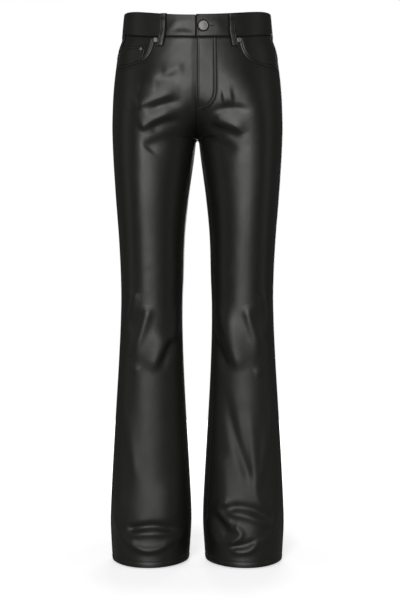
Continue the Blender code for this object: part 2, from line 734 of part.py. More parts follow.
def make_coin_pocket():
    side = COIN_SIDE
    parts, drops = pocket_grid()
    points, normals = cloth(side, parts, drops)
    depth = WALL + LAYER_GAP
    depths = np.where(parts > 1, depth + TUCK_DEPTH, depth)[..., None]
    coin = cloth_solid("coin_pocket", points - normals * depths,
                       points - normals * (depths + COIN_WALL), guide=points)
    inner, outer = COIN_TOP
    outline = ((part_where(side, inner[0], inner[1]), inner[1]), (1.06, outer[1]),
               (1.06, COIN_FOOT[1]), (part_where(side, *COIN_FOOT), COIN_FOOT[1]))
    cut(coin, cutter("coin_cutter", side, outline), "INTERSECT")
    return coin


def make_zip():
    """The closed zip behind the fly, on the two fronts' own points, moved in."""
    columns = FRONT_PARTS[:2]
    drops = panel_grid(columns, band_seam(columns), FRONT_UPPER)[1]
    drops = drops[drops[:, 0] < FLY_END_DROP]
    parts = np.broadcast_to(columns, drops.shape)
    left_points, left_normals = cloth(1, parts, drops)
    right_points, right_normals = cloth(-1, parts, drops)
    points = np.stack((right_points[:, 1], (right_points[:, 0] + left_points[:, 0]) / 2,
                       left_points[:, 1]), 1)
    normals = np.stack((right_normals[:, 1], (right_normals[:, 0] + left_normals[:, 0]) / 2,
                        left_normals[:, 1]), 1)
    normals /= np.linalg.norm(normals, axis=-1, keepdims=True)
    depth = WALL + LAYER_GAP
    return layered("fly_zip", points, normals, -depth, -depth - ZIP_WALL, "zip")


def make_band(side):
    """Half of the waistband. The left one ends at the fly's edge, and the right one runs on
    behind it as the underlap."""
    parts = np.concatenate((FRONT_PARTS, BACK_PARTS[1:]))
    if side == UNDERLAP_SIDE:
        parts = np.insert(parts, 1, LAP_RAMP_PART)
    heights = np.linspace(0, 1, 3)[:, None]
    top = band_top(side, parts)
    drops = top + (band_seam(parts) - top) * heights
    points, normals = cloth(side, np.broadcast_to(parts, drops.shape), drops)
    dips = np.zeros(drops.shape)
    if side == UNDERLAP_SIDE:
        lap = np.linspace(UNDERLAP, 1, 4)
        lap_drops = np.broadcast_to(drops[:, :1] - UNDERLAP_RISE * heights, (len(drops), len(lap)))
        lap_turns = turn_where(section_at(lap_drops), np.broadcast_to(lap, lap_drops.shape), "ridge")
        lap_points = draped_point(-side, lap_turns, lap_drops)
        lap_normals = normal_of(draped_point, -side, lap_turns, lap_drops)
        points = np.concatenate((lap_points, points), 1)
        normals = np.concatenate((lap_normals, normals), 1)
        dips = np.zeros(points.shape[:2])
        dips[:, :len(lap) + 1] = BAND_OUTSIDE - BAND_INSIDE + LAYER_GAP
    points = draw_in(points, ("bottom",))
    dips = dips[..., None]
    outside = points + normals * (BAND_OUTSIDE - dips)
    inside = points + normals * (BAND_INSIDE - dips)
    if side != UNDERLAP_SIDE:
        keep_to_side(outside, side, True)
        keep_to_side(inside, side, True)
    for face in (outside, inside):
        face[:, -1, 0] = side * LAYER_GAP / 2
    band = cloth_solid("waistband_" + side_name(side), outside, inside)
    if side != UNDERLAP_SIDE:
        cut(band, buttonhole_cutter(), "DIFFERENCE")
    return band


def place_on_front(across, drop):
    """Point, normal and level direction of the front at a place across (signed)."""
    side = 1 if across > 0 else -1
    drop = np.array(float(drop))
    turn = turn_where(section_at(drop), np.array(abs(across)), "ridge")
    return on_cloth(side, turn, drop)


def on_cloth(side, turn, drop):
    """Point, normal and direction round the body, to the wearer's left at the front."""
    point = draped_point(side, turn, drop)
    normal = normal_of(draped_point, side, turn, drop)
    around = np.cross(normal, (0.0, 0.0, 1.0))
    return point, normal, -around / np.linalg.norm(around)


def block_of_profile(name, point, normal, around, outline, low, high):
    """A straight block over an outline (right, up) in the plane of the cloth at a point."""
    up = np.cross(normal, around)
    if up[2] < 0:
        up = -up
    base = [point + around * right + up * rise for right, rise in outline]
    count = len(base)
    vertices = [tuple((corner + normal * high) * MM) for corner in base]
    vertices += [tuple((corner + normal * low) * MM) for corner in base]
    faces = [tuple(range(count)), tuple(range(2 * count - 1, count - 1, -1))]
    for start in range(count):
        end = (start + 1) % count
        faces.append((start, start + count, end + count, end))
    mesh = bpy.data.meshes.new(name)
    mesh.from_pydata(vertices, [], faces)
    return add_object(name, mesh, "leather")


def buttonhole_cutter():
    """A keyhole: round at the button's shank, with a narrow slot that runs away from the edge."""
    point, normal, around = place_on_front(*BUTTON_PLACE)
    radius = SHANK_RADIUS + HOLE_PLAY
    slot = HOLE_SLOT / 2
    first = math.asin(slot / radius)
    outline = [(radius * math.cos(angle), radius * math.sin(angle))
               for angle in np.linspace(first, 2 * math.pi - first, 14)]
    outline += [(HOLE_LENGTH, -slot), (HOLE_LENGTH, slot)]
    block = block_of_profile("buttonhole_cutter", point, normal, around, outline, -6, 6)
    block.hide_render = True
    block.display_type = "WIRE"
    return block


def turned_piece(name, point, normal, profile, segments, finish="nickel"):
    """A round piece about a normal of the cloth, from (radius, height) points, low to high.
    The profile starts and ends on the axis."""
    helper = np.array((0.0, 0.0, 1.0))
    across = np.cross(helper, normal)
    across /= np.linalg.norm(across)
    up = np.cross(normal, across)
    rings = profile[1:-1]
    vertices = [point + normal * profile[0][1]]
    for radius, height in rings:
        for index in range(segments):
            angle = 2 * math.pi * index / segments
            spoke = across * math.cos(angle) + up * math.sin(angle)
            vertices.append(point + normal * height + spoke * radius)
    vertices.append(point + normal * profile[-1][1])
    last = len(vertices) - 1
    faces = []
    for index in range(segments):
        beside = (index + 1) % segments
        faces.append((0, 1 + beside, 1 + index))
        for level in range(len(rings) - 1):
            low = 1 + level * segments
            high = low + segments
            faces.append((low + index, low + beside, high + beside, high + index))
        top = 1 + (len(rings) - 1) * segments
        faces.append((top + index, top + beside, last))
    mesh = bpy.data.meshes.new(name)
    mesh.from_pydata([tuple(vertex * MM) for vertex in vertices], [], faces)
    return add_object(name, mesh, finish)


def make_button():
    """A capped button whose shank stands on the underlap and passes through the buttonhole."""
    point, normal = place_on_front(*BUTTON_PLACE)[:2]
    foot = BAND_INSIDE
    seat = BAND_OUTSIDE + BUTTON_STAND
    profile = [(0, foot), (SHANK_RADIUS, foot), (SHANK_RADIUS, seat), (BUTTON_RADIUS - 0.8, seat),
               (BUTTON_RADIUS, seat + 0.7), (BUTTON_RADIUS, seat + 1.5),
               (BUTTON_RADIUS - 0.7, seat + 2.2), (BUTTON_RADIUS - 2.0, seat + 2.3),
               (BUTTON_RADIUS - 2.6, seat + 2.0), (BUTTON_RADIUS / 2, seat + 2.5), (0, seat + 2.7)]
    return turned_piece("button", point, normal, profile, 24)


def make_rivet(name, side, part, drop, radius, height, lift):
    drop = np.array(float(drop))
    turn = turn_at(side, np.array(float(part)), drop)
    point, normal = on_cloth(side, turn, drop)[:2]
    base = lift + LAYER_GAP
    profile = [(0, base), (radius - 0.4, base), (radius, base + 0.3), (radius - 0.3, base + 0.7),
               (radius * 0.62, base + height * 0.8), (0, base + height)]
    return turned_piece(name, point, normal, profile, 16)


def make_rivets():
    for side in (1, -1):
        make_rivet("rivet_" + side_name(side), side, part_where(side, *MOUTH_RIVET),
                   MOUTH_RIVET[1], MOUTH_RIVET_RADIUS, 2.0, 0.0)
    make_rivet("rivet_coin", COIN_SIDE, part_where(COIN_SIDE, *COIN_RIVET), COIN_RIVET[1],
               COIN_RIVET_RADIUS, 1.6, -WALL - LAYER_GAP)


def make_loop(name, side, top_turn, low_turn, top_drop, low_drop):
    """A belt loop: a strip tacked at the band's upper edge and below the band, standing clear
    of the band between."""
    length = low_drop - top_drop
    rows = len(LOOP_PROFILE)
    outside = np.zeros((rows, 3, 3))
    inside = np.zeros((rows, 3, 3))
    for row, (share, stand) in enumerate(LOOP_PROFILE):
        drop = np.array(top_drop + length * share)
        turn = np.array(top_turn + (low_turn - top_turn) * share)
        point, normal, around = on_cloth(side, turn, drop)
        for column, offset in enumerate((-LOOP_WIDTH / 2, 0, LOOP_WIDTH / 2)):
            place = point + around * offset
            outside[row, column] = place + normal * (stand + LOOP_WALL)
            inside[row, column] = place + normal * stand
    return cloth_solid(name, outside, inside)


def make_loops():
    for side in (1, -1):
        (top_across, top_drop), (low_across, low_drop) = FRONT_LOOP
        top_turn, low_turn = [
            float(turn_where(section_at(np.array(float(drop))), np.array(float(across)), "ridge"))
            for across, drop in FRONT_LOOP]
        make_loop("belt_loop_front_" + side_name(side), side, top_turn, low_turn, top_drop, low_drop)
        top_drop = float(band_top(side, np.array([SIDE_LOOP_PART]))[0])
        turn = math.pi + SIDE_LOOP_TURN
        make_loop("belt_loop_side_" + side_name(side), side, turn, turn, top_drop,
                  top_drop + LOOP_LENGTH)
    top_drop = float(band_top(1, np.array([2.0]))[0])
    turn = 1.5 * math.pi
    make_loop("belt_loop_back", 1, turn, turn, top_drop, top_drop + LOOP_LENGTH)


def make_back_pocket(side):
    """A patch pocket on the back: its own grid is the back's, moved out and cut to outline."""
    parts, drops = panel_grid(BACK_PARTS, yoke_seam(BACK_PARTS), BACK_UPPER)
    rows = (drops.max(1) < 292).sum()
    parts, drops = parts[:rows], drops[:rows]
    points, normals = cloth(side, parts, drops)
    points, normals, drops = points[:, 1:-1], normals[:, 1:-1], drops[:, 1:-1]
    patch = layered("back_pocket_" + side_name(side), points, normals,
                    LAYER_GAP + WALL, LAYER_GAP)
    outline = []
    corners = np.array(BACK_POCKET_OUTLINE, float)
    for start, end in zip(corners, np.roll(corners, -1, 0)):
        for share in np.arange(BACK_POCKET_STEPS) / BACK_POCKET_STEPS:
            right, down = start + (end - start) * share
            part = BACK_POCKET_PART + right / BACK_POCKET_ROUND
            outline.append((part, BACK_POCKET_TOP + down + BACK_POCKET_TILT * right))
    cut(patch, cutter("back_pocket_cutter_" + side_name(side), side, outline), "INTERSECT")
    return patch


def make_trousers():
    for piece in list(bpy.data.objects):
        bpy.data.objects.remove(piece)
    for side in (1, -1):
        make_band(side)
        make_front(side)
        make_bearer(side)
        make_yoke(side)
        make_back(side)
        make_back_pocket(side)
    make_coin_pocket()
    make_zip()
    make_loops()
    make_button()
    make_rivets()


make_trousers()
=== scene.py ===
import math

import bpy
import numpy as np
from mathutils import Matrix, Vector


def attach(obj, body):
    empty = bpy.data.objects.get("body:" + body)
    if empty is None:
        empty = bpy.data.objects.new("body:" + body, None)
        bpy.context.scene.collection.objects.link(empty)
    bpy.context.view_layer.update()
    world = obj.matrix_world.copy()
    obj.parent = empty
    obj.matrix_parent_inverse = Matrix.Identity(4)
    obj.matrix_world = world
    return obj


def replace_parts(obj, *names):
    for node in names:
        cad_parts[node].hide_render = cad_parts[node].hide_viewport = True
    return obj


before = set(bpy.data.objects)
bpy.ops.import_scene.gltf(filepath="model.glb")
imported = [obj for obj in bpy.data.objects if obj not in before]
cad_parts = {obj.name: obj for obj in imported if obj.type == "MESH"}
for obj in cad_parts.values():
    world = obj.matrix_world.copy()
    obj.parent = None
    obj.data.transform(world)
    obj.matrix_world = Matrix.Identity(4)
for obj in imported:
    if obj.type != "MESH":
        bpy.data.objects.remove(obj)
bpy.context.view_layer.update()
bpy.ops.object.select_all(action="DESELECT")
mm = 0.001
sides = {"left": 1, "right": -1}     # the wearer's left is +X

# The garment's own sizes, in millimetres. A drop is measured down from the waist's middle.
garment = {
    "crotchDrop": 256.0, "hemDrop": 1088.0, "hemDip": 2.0, "hipDrop": 138.0,
    "leather": 1.2, "hemTurn": 34.0, "lean": 0.5, "squareness": 2.15,
    "bandTop": (7.0, 25.2, -12.0), "bandSeam": (45.0, 69.2, 32.5), "bandLift": 1.3,
    "flyLap": 2.5, "flyEnd": 206.0, "flyRaise": 1.1, "flySpread": 26.0,
    "yokeSide": 82.0, "yokeBack": 112.0,
    "pocketPart": 0.485, "pocketDepth": 54.0, "mouthRoundness": 0.6,
}

# drop, outer, inner, front, back, ridge, seat, span of each level section
sectionNames = ("outer", "inner", "front", "back", "ridge", "seat", "span")
sections = (
    (-15, 143.0, -143.0, 92.0, 84.0, 0, 0, 1.0),
    (0, 144.4, -144.4, 94.0, 87.0, 0, 0, 1.0),
    (15, 146.2, -146.2, 95.8, 89.5, 0, 0, 1.0),
    (30, 147.6, -147.6, 97.4, 92.0, 0, 0, 1.0),
    (45, 148.9, -148.5, 98.8, 95.0, 0, 2, 1.0),
    (55, 149.8, -148.0, 99.6, 97.2, 0, 6, 1.0),
    (75, 156.3, -140.0, 101.4, 102.0, 4, 22, 1.0),
    (115, 162.8, -110.0, 103.0, 112.0, 22, 55, 1.0),
    (165, 167.8, -60.0, 103.2, 118.5, 66, 78, 0.88),
    (205, 169.5, -28.0, 100.2, 117.0, 90, 86, 0.62),
    (235, 170.0, -10.5, 96.2, 110.5, 98, 89, 0.22),
    (256, 169.5, 0.0, 93.6, 104.5, 100, 90, 0.0),
    (262, 169.3, 3.3, 93.2, 102.8, 100, 90, 0.0),
    (275, 168.8, 4.9, 92.0, 100.0, 101, 90, 0.0),
    (295, 167.8, 7.2, 91.0, 97.0, 101, 89, 0.0),
    (335, 165.3, 12.4, 88.5, 92.5, 101, 89, 0.0),
    (375, 162.5, 17.6, 86.0, 88.0, 100, 89, 0.0),
    (455, 156.3, 24.9, 78.0, 78.0, 97, 89, 0.0),
    (535, 152.4, 27.2, 70.5, 70.5, 95, 90, 0.0),
    (575, 151.8, 28.8, 67.5, 68.0, 94, 91, 0.0),
    (615, 152.7, 29.1, 66.5, 69.0, 94, 91, 0.0),
    (695, 156.3, 27.2, 67.5, 76.0, 96, 92, 0.0),
    (775, 161.0, 23.5, 71.5, 84.0, 98, 93, 0.0),
    (855, 165.7, 18.8, 77.0, 91.0, 98, 93, 0.0),
    (935, 169.9, 14.3, 84.0, 97.0, 97, 93, 0.0),
    (975, 171.7, 12.2, 90.0, 99.0, 96, 93, 0.0),
    (1015, 172.7, 11.5, 95.5, 100.5, 95, 93, 0.0),
    (1055, 170.9, 13.8, 100.5, 102.0, 94, 93, 0.0),
    (1090, 168.7, 16.3, 104.0, 103.0, 93, 92, 0.0),
)
sectionDrops = np.array([row[0] for row in sections], float)


def smoothTable(places, values, at):
    places = np.asarray(places, float)
    values = np.asarray(values, float)
    at = np.clip(at, places[0], places[-1])
    steps = np.diff(places)
    rates = np.diff(values) / steps
    slopes = np.concatenate(([rates[0]], rates))
    slopes[1:-1] = (steps[1:] * rates[:-1] + steps[:-1] * rates[1:]) / (steps[1:] + steps[:-1])
    row = np.clip(np.searchsorted(places, at, side="right") - 1, 0, len(steps) - 1)
    step = steps[row]
    share = (at - places[row]) / step
    return (values[row] * (1 + 2 * share) * (1 - share) ** 2
            + values[row + 1] * share ** 2 * (3 - 2 * share)
            + slopes[row] * step * share * (1 - share) ** 2
            + slopes[row + 1] * step * share ** 2 * (share - 1))


def ease(value):
    value = np.clip(value, 0.0, 1.0)
    return value * value * (3 - 2 * value)


def fromCrotch(drop):
    away = np.asarray(drop, float) - garment["crotchDrop"]
    return np.sign(away) * np.sqrt(np.abs(away))


def sectionAt(drop):
    section = {}
    for index, name in enumerate(sectionNames, 1):
        column = [row[index] for row in sections]
        if name == "inner":
            section[name] = smoothTable(fromCrotch(sectionDrops), column, fromCrotch(drop))
        else:
            section[name] = smoothTable(sectionDrops, column, drop)
    return section


# The turn runs from the inner side (0) over the front, the outer side (a half) and the back
def ring(section, turn):
    cosine = np.cos(turn)
    sine = np.sin(turn)
    inFront = sine > 0
    middle = np.where(inFront, section["ridge"], section["seat"])
    depth = np.where(inFront, section["front"], section["back"])
    half = np.where(cosine > 0, middle - section["inner"], section["outer"] - middle)
    power = 2 / garment["squareness"]
    across = middle - half * np.sign(cosine) * np.abs(cosine) ** power
    bridged = np.where(cosine > 0, section["span"], 0.0)
    forward = -np.sign(sine) * depth * (1 - (1 - bridged) * (1 - np.abs(sine) ** power))
    return across, np.where(np.abs(sine) < 1e-9, 0.0, forward)


def turnWhere(section, across, face):
    middle = section[face]
    inward = across < middle
    share = np.where(inward, (middle - across) / (middle - section["inner"]),
                     (across - middle) / (section["outer"] - middle))
    angle = np.arccos(np.clip(share, 0, 1) ** (garment["squareness"] / 2))
    turn = np.where(inward, angle, math.pi - angle)
    return turn if face == "ridge" else 2 * math.pi - turn


def flyEdge(side, drop):
    return -side * garment["flyLap"] * ease((garment["flyEnd"] - np.asarray(drop, float)) / 22)


def seamTurns(side, section, drop):
    above = np.asarray(drop, float) < garment["crotchDrop"]
    inseam = (math.radians(18) * ease((drop - garment["crotchDrop"]) / 150)
              + math.radians(8) * ease((drop - 600) / 250))
    first = np.where(above, turnWhere(section, flyEdge(side, drop), "ridge"), inseam)
    last = np.where(above, turnWhere(section, 0.0, "seat"), 2 * math.pi + inseam)
    sideSeam = math.pi - math.radians(14) - math.radians(6) * ease((drop - 80) / 200)
    return first, sideSeam, last


# Turn of a point part-way round one side: 0 front edge or inseam, 1 side seam, 2 centre back
def turnAt(side, part, drop):
    section = sectionAt(drop)
    first, seam, last = seamTurns(side, section, drop)
    inFront = part <= 1
    low = np.where(inFront, first, seam)
    high = np.where(inFront, seam, last)
    shares = np.linspace(0, 1, 49)
    turns = low[..., None] + (high - low)[..., None] * shares
    wide = {name: value[..., None] for name, value in section.items()}
    across, forward = ring(wide, turns)
    pieces = np.hypot(np.diff(across), np.diff(forward))
    lengths = np.concatenate((np.zeros(pieces.shape[:-1] + (1,)), np.cumsum(pieces, -1)), -1)
    wanted = np.where(inFront, part, part - 1) * lengths[..., -1]
    index = np.clip((lengths < wanted[..., None]).sum(-1), 1, len(shares) - 1)[..., None]
    before = np.take_along_axis(lengths, index - 1, -1)[..., 0]
    after = np.take_along_axis(lengths, index, -1)[..., 0]
    lowTurn = np.take_along_axis(turns, index - 1, -1)[..., 0]
    highTurn = np.take_along_axis(turns, index, -1)[..., 0]
    share = np.where(after > before, (wanted - before) / np.maximum(after - before, 1e-9), 0)
    return lowTurn + (highTurn - lowTurn) * share


def barePoint(side, turn, drop):
    across, forward = ring(sectionAt(drop), turn)
    lean = garment["lean"] * ease((np.asarray(drop, float) - 250) / 350)
    return np.stack((side * across - lean, forward, -np.asarray(drop, float)), -1)


def normalOf(surface, side, turn, drop):
    around = surface(side, turn + 0.01, drop) - surface(side, turn - 0.01, drop)
    down = surface(side, turn, drop + 1.0) - surface(side, turn, drop - 1.0)
    normal = -side * np.cross(around, down)
    return normal / np.maximum(np.linalg.norm(normal, axis=-1, keepdims=True), 1e-9)


# Soft folds of the band between its loops: the middle's place, length, tilt below level in
# degrees, bow, reach of the slope above and below the crest, and rise (a trough is below zero).
# across, drop, length, tilt, bow, above, below, rise
bandFrontFolds = (
    (-36, 64, 64, 1, -1, 8, 6, 1.4),
    (-30, 39, 50, -4, 1, 9, 7, 0.8),
    (-52, 51, 34, -35, 1, 7, 6, 0.8),
    (-22, 52, 30, 20, 0, 6, 6, -0.6),
    (38, 62, 58, -3, 1, 9, 6, 0.9),
    (22, 42, 56, 0, 0, 12, 16, 1.8),
    (50, 49, 36, -20, 1, 7, 7, 0.6),
    (104, 46, 50, -6, 1, 9, 8, 0.6),
    (124, 26, 34, 12, 1, 8, 9, 0.5),
    (-108, 44, 46, 5, -1, 8, 9, 0.7),
    (-122, 27, 32, -9, 1, 9, 7, 0.5),
)
bandBackFolds = (
    (-48, 22, 60, 3, 1, 9, 8, 0.9),
    (-70, 8, 44, -8, -1, 8, 7, 0.6),
    (-104, 30, 40, 6, 1, 8, 9, 0.5),
    (44, 18, 52, -5, -1, 8, 8, 0.8),
    (66, 4, 40, 7, 1, 7, 9, 0.6),
    (108, 27, 44, -4, 1, 9, 8, 0.6),
)
# Creases of the legs and seat: rise, reach to the left and right of the line as one walks along
# it, share of the line over which each end dies away, and the line's points (across, drop)
frontCreases = (
    # wearer's right hip
    (1.6, 14, 9, 0.3, ((-70, 141), (-22, 125))),
    (-1.6, 7, 12, 0.3, ((-86, 154), (-33, 142))),
    (2.0, 16, 8, 0.3, ((-120, 164), (-70, 171))),
    (3.6, 18, 7, 0.3, ((-118, 202), (-106, 197), (-69, 184), (-28, 169))),
    (-3.2, 6, 12, 0.35, ((-103, 214), (-66, 200), (-24, 188))),
    (3.8, 18, 7, 0.3, ((-112, 246), (-101, 238), (-69, 221), (-30, 209))),
    (-3.0, 6, 12, 0.3, ((-96, 247), (-69, 235), (-26, 226))),
    (-3.4, 11, 16, 0.3, ((-100, 286), (-90, 277), (-58, 263), (-9, 252))),
    # wearer's left hip
    (2.6, 16, 14, 0.2, ((46, 188), (70, 184))),
    (-3.2, 8, 9, 0.3, ((20, 218), (51, 207), (74, 206), (112, 212))),
    (3.6, 14, 7, 0.3, ((24, 220), (45, 230), (72, 240), (98, 254))),
    (-3.0, 6, 10, 0.3, ((14, 234), (39, 244), (63, 253), (96, 263))),
    (-3.2, 9, 14, 0.3, ((10, 255), (26, 263), (51, 276), (86, 291))),
    # right knee
    (3.4, 8, 14, 0.3, ((-121, 555), (-128, 581), (-146, 626))),
    (4.0, 9, 11, 0.3, ((-91, 586), (-99, 608), (-113, 650), (-127, 693))),
    (2.0, 7, 8, 0.3, ((-120, 635), (-134, 667), (-139, 689))),
    (5.6, 8, 20, 0.3, ((-57, 633), (-69, 665), (-80, 692), (-93, 719))),
    (-4.6, 10, 7, 0.3, ((-42, 646), (-57, 676), (-75, 718))),
    (2.8, 8, 8, 0.2, ((-129, 705), (-114, 715))),
    (2.4, 6, 8, 0.3, ((-32, 575), (-41, 626), (-52, 672))),
    # left knee
    (3.4, 14, 8, 0.3, ((124, 553), (135, 592), (147, 626))),
    (4.0, 11, 9, 0.3, ((95, 584), (100, 608), (112, 647), (126, 688))),
    (2.0, 8, 7, 0.3, ((110, 616), (126, 647), (139, 674), (135, 705))),
    (5.6, 20, 8, 0.3, ((43, 577), (56, 631), (71, 684), (86, 719))),
    (-4.2, 7, 10, 0.3, ((28, 622), (44, 676), (64, 720))),
    (2.8, 8, 8, 0.2, ((129, 711), (112, 719))),
    (2.2, 8, 6, 0.3, ((33, 572), (40, 625), (51, 683))),
    # right shin
    (2.6, 12, 7, 0.3, ((-147, 755), (-138, 821), (-127, 885), (-120, 937))),
    (4.0, 26, 26, 0.0, ((-53, 955), (-53, 985))),
    (3.0, 19, 19, 0.0, ((-148, 975), (-150, 1000))),
    # left shin
    (-3.8, 9, 11, 0.3, ((50, 728), (70, 827), (92, 896), (107, 938))),
    (3.0, 10, 9, 0.3, ((98, 755), (109, 868), (113, 938), (121, 966), (146, 1002))),
    (2.4, 8, 8, 0.3, ((150, 744), (139, 827), (128, 896), (125, 948))),
    (3.6, 15, 15, 0.0, ((48, 895), (53, 962))),
    # break above the right hem
    (-5.4, 8, 6, 0.25, ((-137, 1021), (-123, 1016), (-85, 1011), (-57, 1016), (-36, 1025))),
    (2.6, 5, 6, 0.2, ((-139, 1030), (-95, 1026), (-37, 1027))),
    (4.4, 7, 6, 0.2, ((-139, 1033), (-123, 1049), (-98, 1057), (-68, 1052), (-38, 1031))),
    (2.0, 7, 6, 0.2, ((-163, 994), (-153, 1025), (-134, 1046))),
    (2.0, 6, 7, 0.2, ((-16, 994), (-24, 1027), (-46, 1049))),
    # break above the left hem
    (3.4, 6, 8, 0.1, ((64, 967), (50, 972), (42, 982), (50, 997), (70, 1010))),
    (3.6, 6, 8, 0.1, ((70, 1010), (84, 1025), (78, 1036), (60, 1047))),
    (-4.2, 8, 7, 0.25, ((51, 979), (84, 975), (114, 983), (147, 1006))),
    (3.0, 6, 7, 0.2, ((53, 988), (86, 991), (125, 1004), (146, 1013))),
    (-5.6, 11, 11, 0.0, ((41, 1003), (55, 1024))),
    (-3.0, 6, 6, 0.2, ((61, 1050), (86, 1048), (117, 1037))),
    (3.0, 6, 6, 0.2, ((61, 1057), (84, 1060), (103, 1056), (119, 1040))),
    (2.0, 7, 6, 0.2, ((16, 994), (26, 1030), (45, 1052))),
    (2.0, 6, 7, 0.2, ((153, 988), (150, 1007), (138, 1032), (122, 1046))),
)
backCreases = (
    # under the seat
    (3.4, 12, 12, 0.3, ((-14, 262), (-58, 270), (-112, 252))),
    (-3.4, 10, 10, 0.3, ((-16, 280), (-62, 287), (-118, 270))),
    (2.6, 11, 11, 0.3, ((-22, 298), (-66, 305), (-112, 292))),
    (-2.2, 9, 9, 0.3, ((-26, 314), (-64, 322), (-104, 314))),
    (3.2, 12, 12, 0.3, ((16, 264), (62, 266), (116, 246))),
    (-3.4, 10, 10, 0.3, ((14, 283), (58, 284), (112, 264))),
    (2.8, 11, 11, 0.3, ((22, 302), (70, 302), (120, 286))),
    (-2.0, 9, 9, 0.3, ((28, 318), (68, 319), (108, 308))),
    # seat, from the sides to the middle
    (2.2, 12, 12, 0.3, ((-118, 176), (-64, 196), (-24, 222))),
    (-2.2, 10, 10, 0.3, ((-122, 196), (-70, 215), (-30, 238))),
    (2.2, 12, 12, 0.3, ((122, 170), (70, 192), (26, 218))),
    (-2.2, 10, 10, 0.3, ((124, 190), (74, 211), (30, 236))),
    # behind the knees
    (3.6, 10, 10, 0.3, ((-44, 548), (-92, 562), (-140, 548))),
    (-4.0, 9, 9, 0.3, ((-40, 566), (-88, 580), (-142, 564))),
    (4.4, 10, 10, 0.3, ((-38, 584), (-84, 599), (-136, 588))),
    (-4.0, 9, 9, 0.3, ((-40, 604), (-86, 618), (-138, 610))),
    (3.4, 10, 10, 0.3, ((-44, 625), (-90, 637), (-134, 632))),
    (3.4, 10, 10, 0.3, ((46, 552), (94, 560), (138, 542))),
    (-4.0, 9, 9, 0.3, ((40, 570), (92, 578), (142, 559))),
    (4.4, 10, 10, 0.3, ((38, 588), (88, 598), (140, 580))),
    (-4.0, 9, 9, 0.3, ((42, 607), (92, 617), (136, 602))),
    (3.2, 10, 10, 0.3, ((48, 628), (96, 636), (134, 624))),
    # calves
    (3.2, 13, 13, 0.3, ((-66, 690), (-78, 770), (-70, 850))),
    (-2.8, 12, 12, 0.3, ((-112, 700), (-120, 790), (-112, 872))),
    (3.0, 13, 13, 0.3, ((70, 700), (80, 776), (72, 856))),
    (-2.8, 12, 12, 0.3, ((116, 690), (124, 780), (114, 866))),
    # breaks above the hems
    (3.4, 9, 9, 0.3, ((-34, 992), (-88, 1008), (-150, 990))),
    (-4.2, 9, 9, 0.3, ((-30, 1010), (-86, 1027), (-152, 1008))),
    (3.2, 8, 8, 0.3, ((-36, 1030), (-88, 1044), (-146, 1028))),
    (3.4, 9, 9, 0.3, ((32, 1000), (94, 1006), (150, 984))),
    (-4.2, 9, 9, 0.3, ((32, 1019), (96, 1024), (152, 1002))),
    (3.2, 8, 8, 0.3, ((40, 1038), (98, 1042), (144, 1022))),
)
# The height maps have one cell a millimetre. The creases are rounded over a few millimetres, and
# the cloth is a little uneven: rise and cell of each noise
reliefMap = {"left": -200.0, "top": -40.0, "wide": 401, "high": 1160, "rounding": 2,
             "uneven": ((0.10, 31), (0.05, 13))}


def smoothLine(points, perSpan):
    points = np.array(points, float)
    ends = np.concatenate((points[:1] * 2 - points[1:2], points, points[-1:] * 2 - points[-2:-1]))
    line = []
    for index in range(1, len(ends) - 2):
        before, start, end, after = ends[index - 1:index + 3]
        for share in np.arange(perSpan) / perSpan:
            line.append(0.5 * (2 * start + (end - before) * share
                               + (2 * before - 5 * start + 4 * end - after) * share ** 2
                               + (3 * start - before - 3 * end + after) * share ** 3))
    line.append(points[-1])
    return np.array(line)


def stampFold(field, across, drop, length, tilt, bow, above, below, rise):
    cosine, sine = math.cos(math.radians(tilt)), math.sin(math.radians(tilt))
    far, wide = 0.8 * length, 2.6 * max(above, below) + abs(bow)
    halfWide = far * abs(cosine) + wide * abs(sine)
    halfHigh = far * abs(sine) + wide * abs(cosine)
    left = max(int(across - halfWide - reliefMap["left"]), 0)
    top = max(int(drop - halfHigh - reliefMap["top"]), 0)
    window = field[top:top + int(2 * halfHigh) + 2, left:left + int(2 * halfWide) + 2]
    down, right = np.mgrid[top:top + window.shape[0], left:left + window.shape[1]]
    right = right + reliefMap["left"] - across
    down = down + reliefMap["top"] - drop
    share = 2 * (right * cosine + down * sine) / length
    away = down * cosine - right * sine - bow * (1 - share ** 2)
    reach = np.where(away < 0, above, below)
    window += rise * np.exp(-(away / reach) ** 2 - 1.5 * share ** 4)


# A crease along a line of points. Where its fade share is 0, its ends are round and don't fade.
def stampCrease(field, rise, leftReach, rightReach, fadeShare, points):
    line = smoothLine(points, 8)
    spread = 3 * max(leftReach, rightReach)
    low = (line.min(0) - spread - (reliefMap["left"], reliefMap["top"])).astype(int).clip(0)
    high = (line.max(0) + spread - (reliefMap["left"], reliefMap["top"])).astype(int)
    high = np.minimum(high, (reliefMap["wide"], reliefMap["high"]))
    down, right = np.mgrid[low[1]:high[1], low[0]:high[0]]
    spots = np.stack((right + reliefMap["left"], down + reliefMap["top"]), -1)[:, :, None, :]
    start, step = line[:-1], np.diff(line, axis=0)
    share = np.clip(((spots - start) * step).sum(-1) / (step * step).sum(-1), 0, 1)
    apart = spots - start - share[..., None] * step
    nearest = np.linalg.norm(apart, axis=-1).argmin(-1)[..., None]
    away = np.take_along_axis(np.linalg.norm(apart, axis=-1), nearest, -1)[..., 0]
    turn = step[:, 0] * apart[..., 1] - step[:, 1] * apart[..., 0]
    onLeft = np.take_along_axis(turn, nearest, -1)[..., 0] < 0
    along = (np.take_along_axis(share, nearest, -1) + nearest)[..., 0] / len(step)
    fade = ease(along / fadeShare) * ease((1 - along) / fadeShare) if fadeShare else 1.0
    reach = np.where(onLeft, leftReach, rightReach)
    field[low[1]:high[1], low[0]:high[0]] += rise * fade * np.exp(-(away / reach) ** 2)


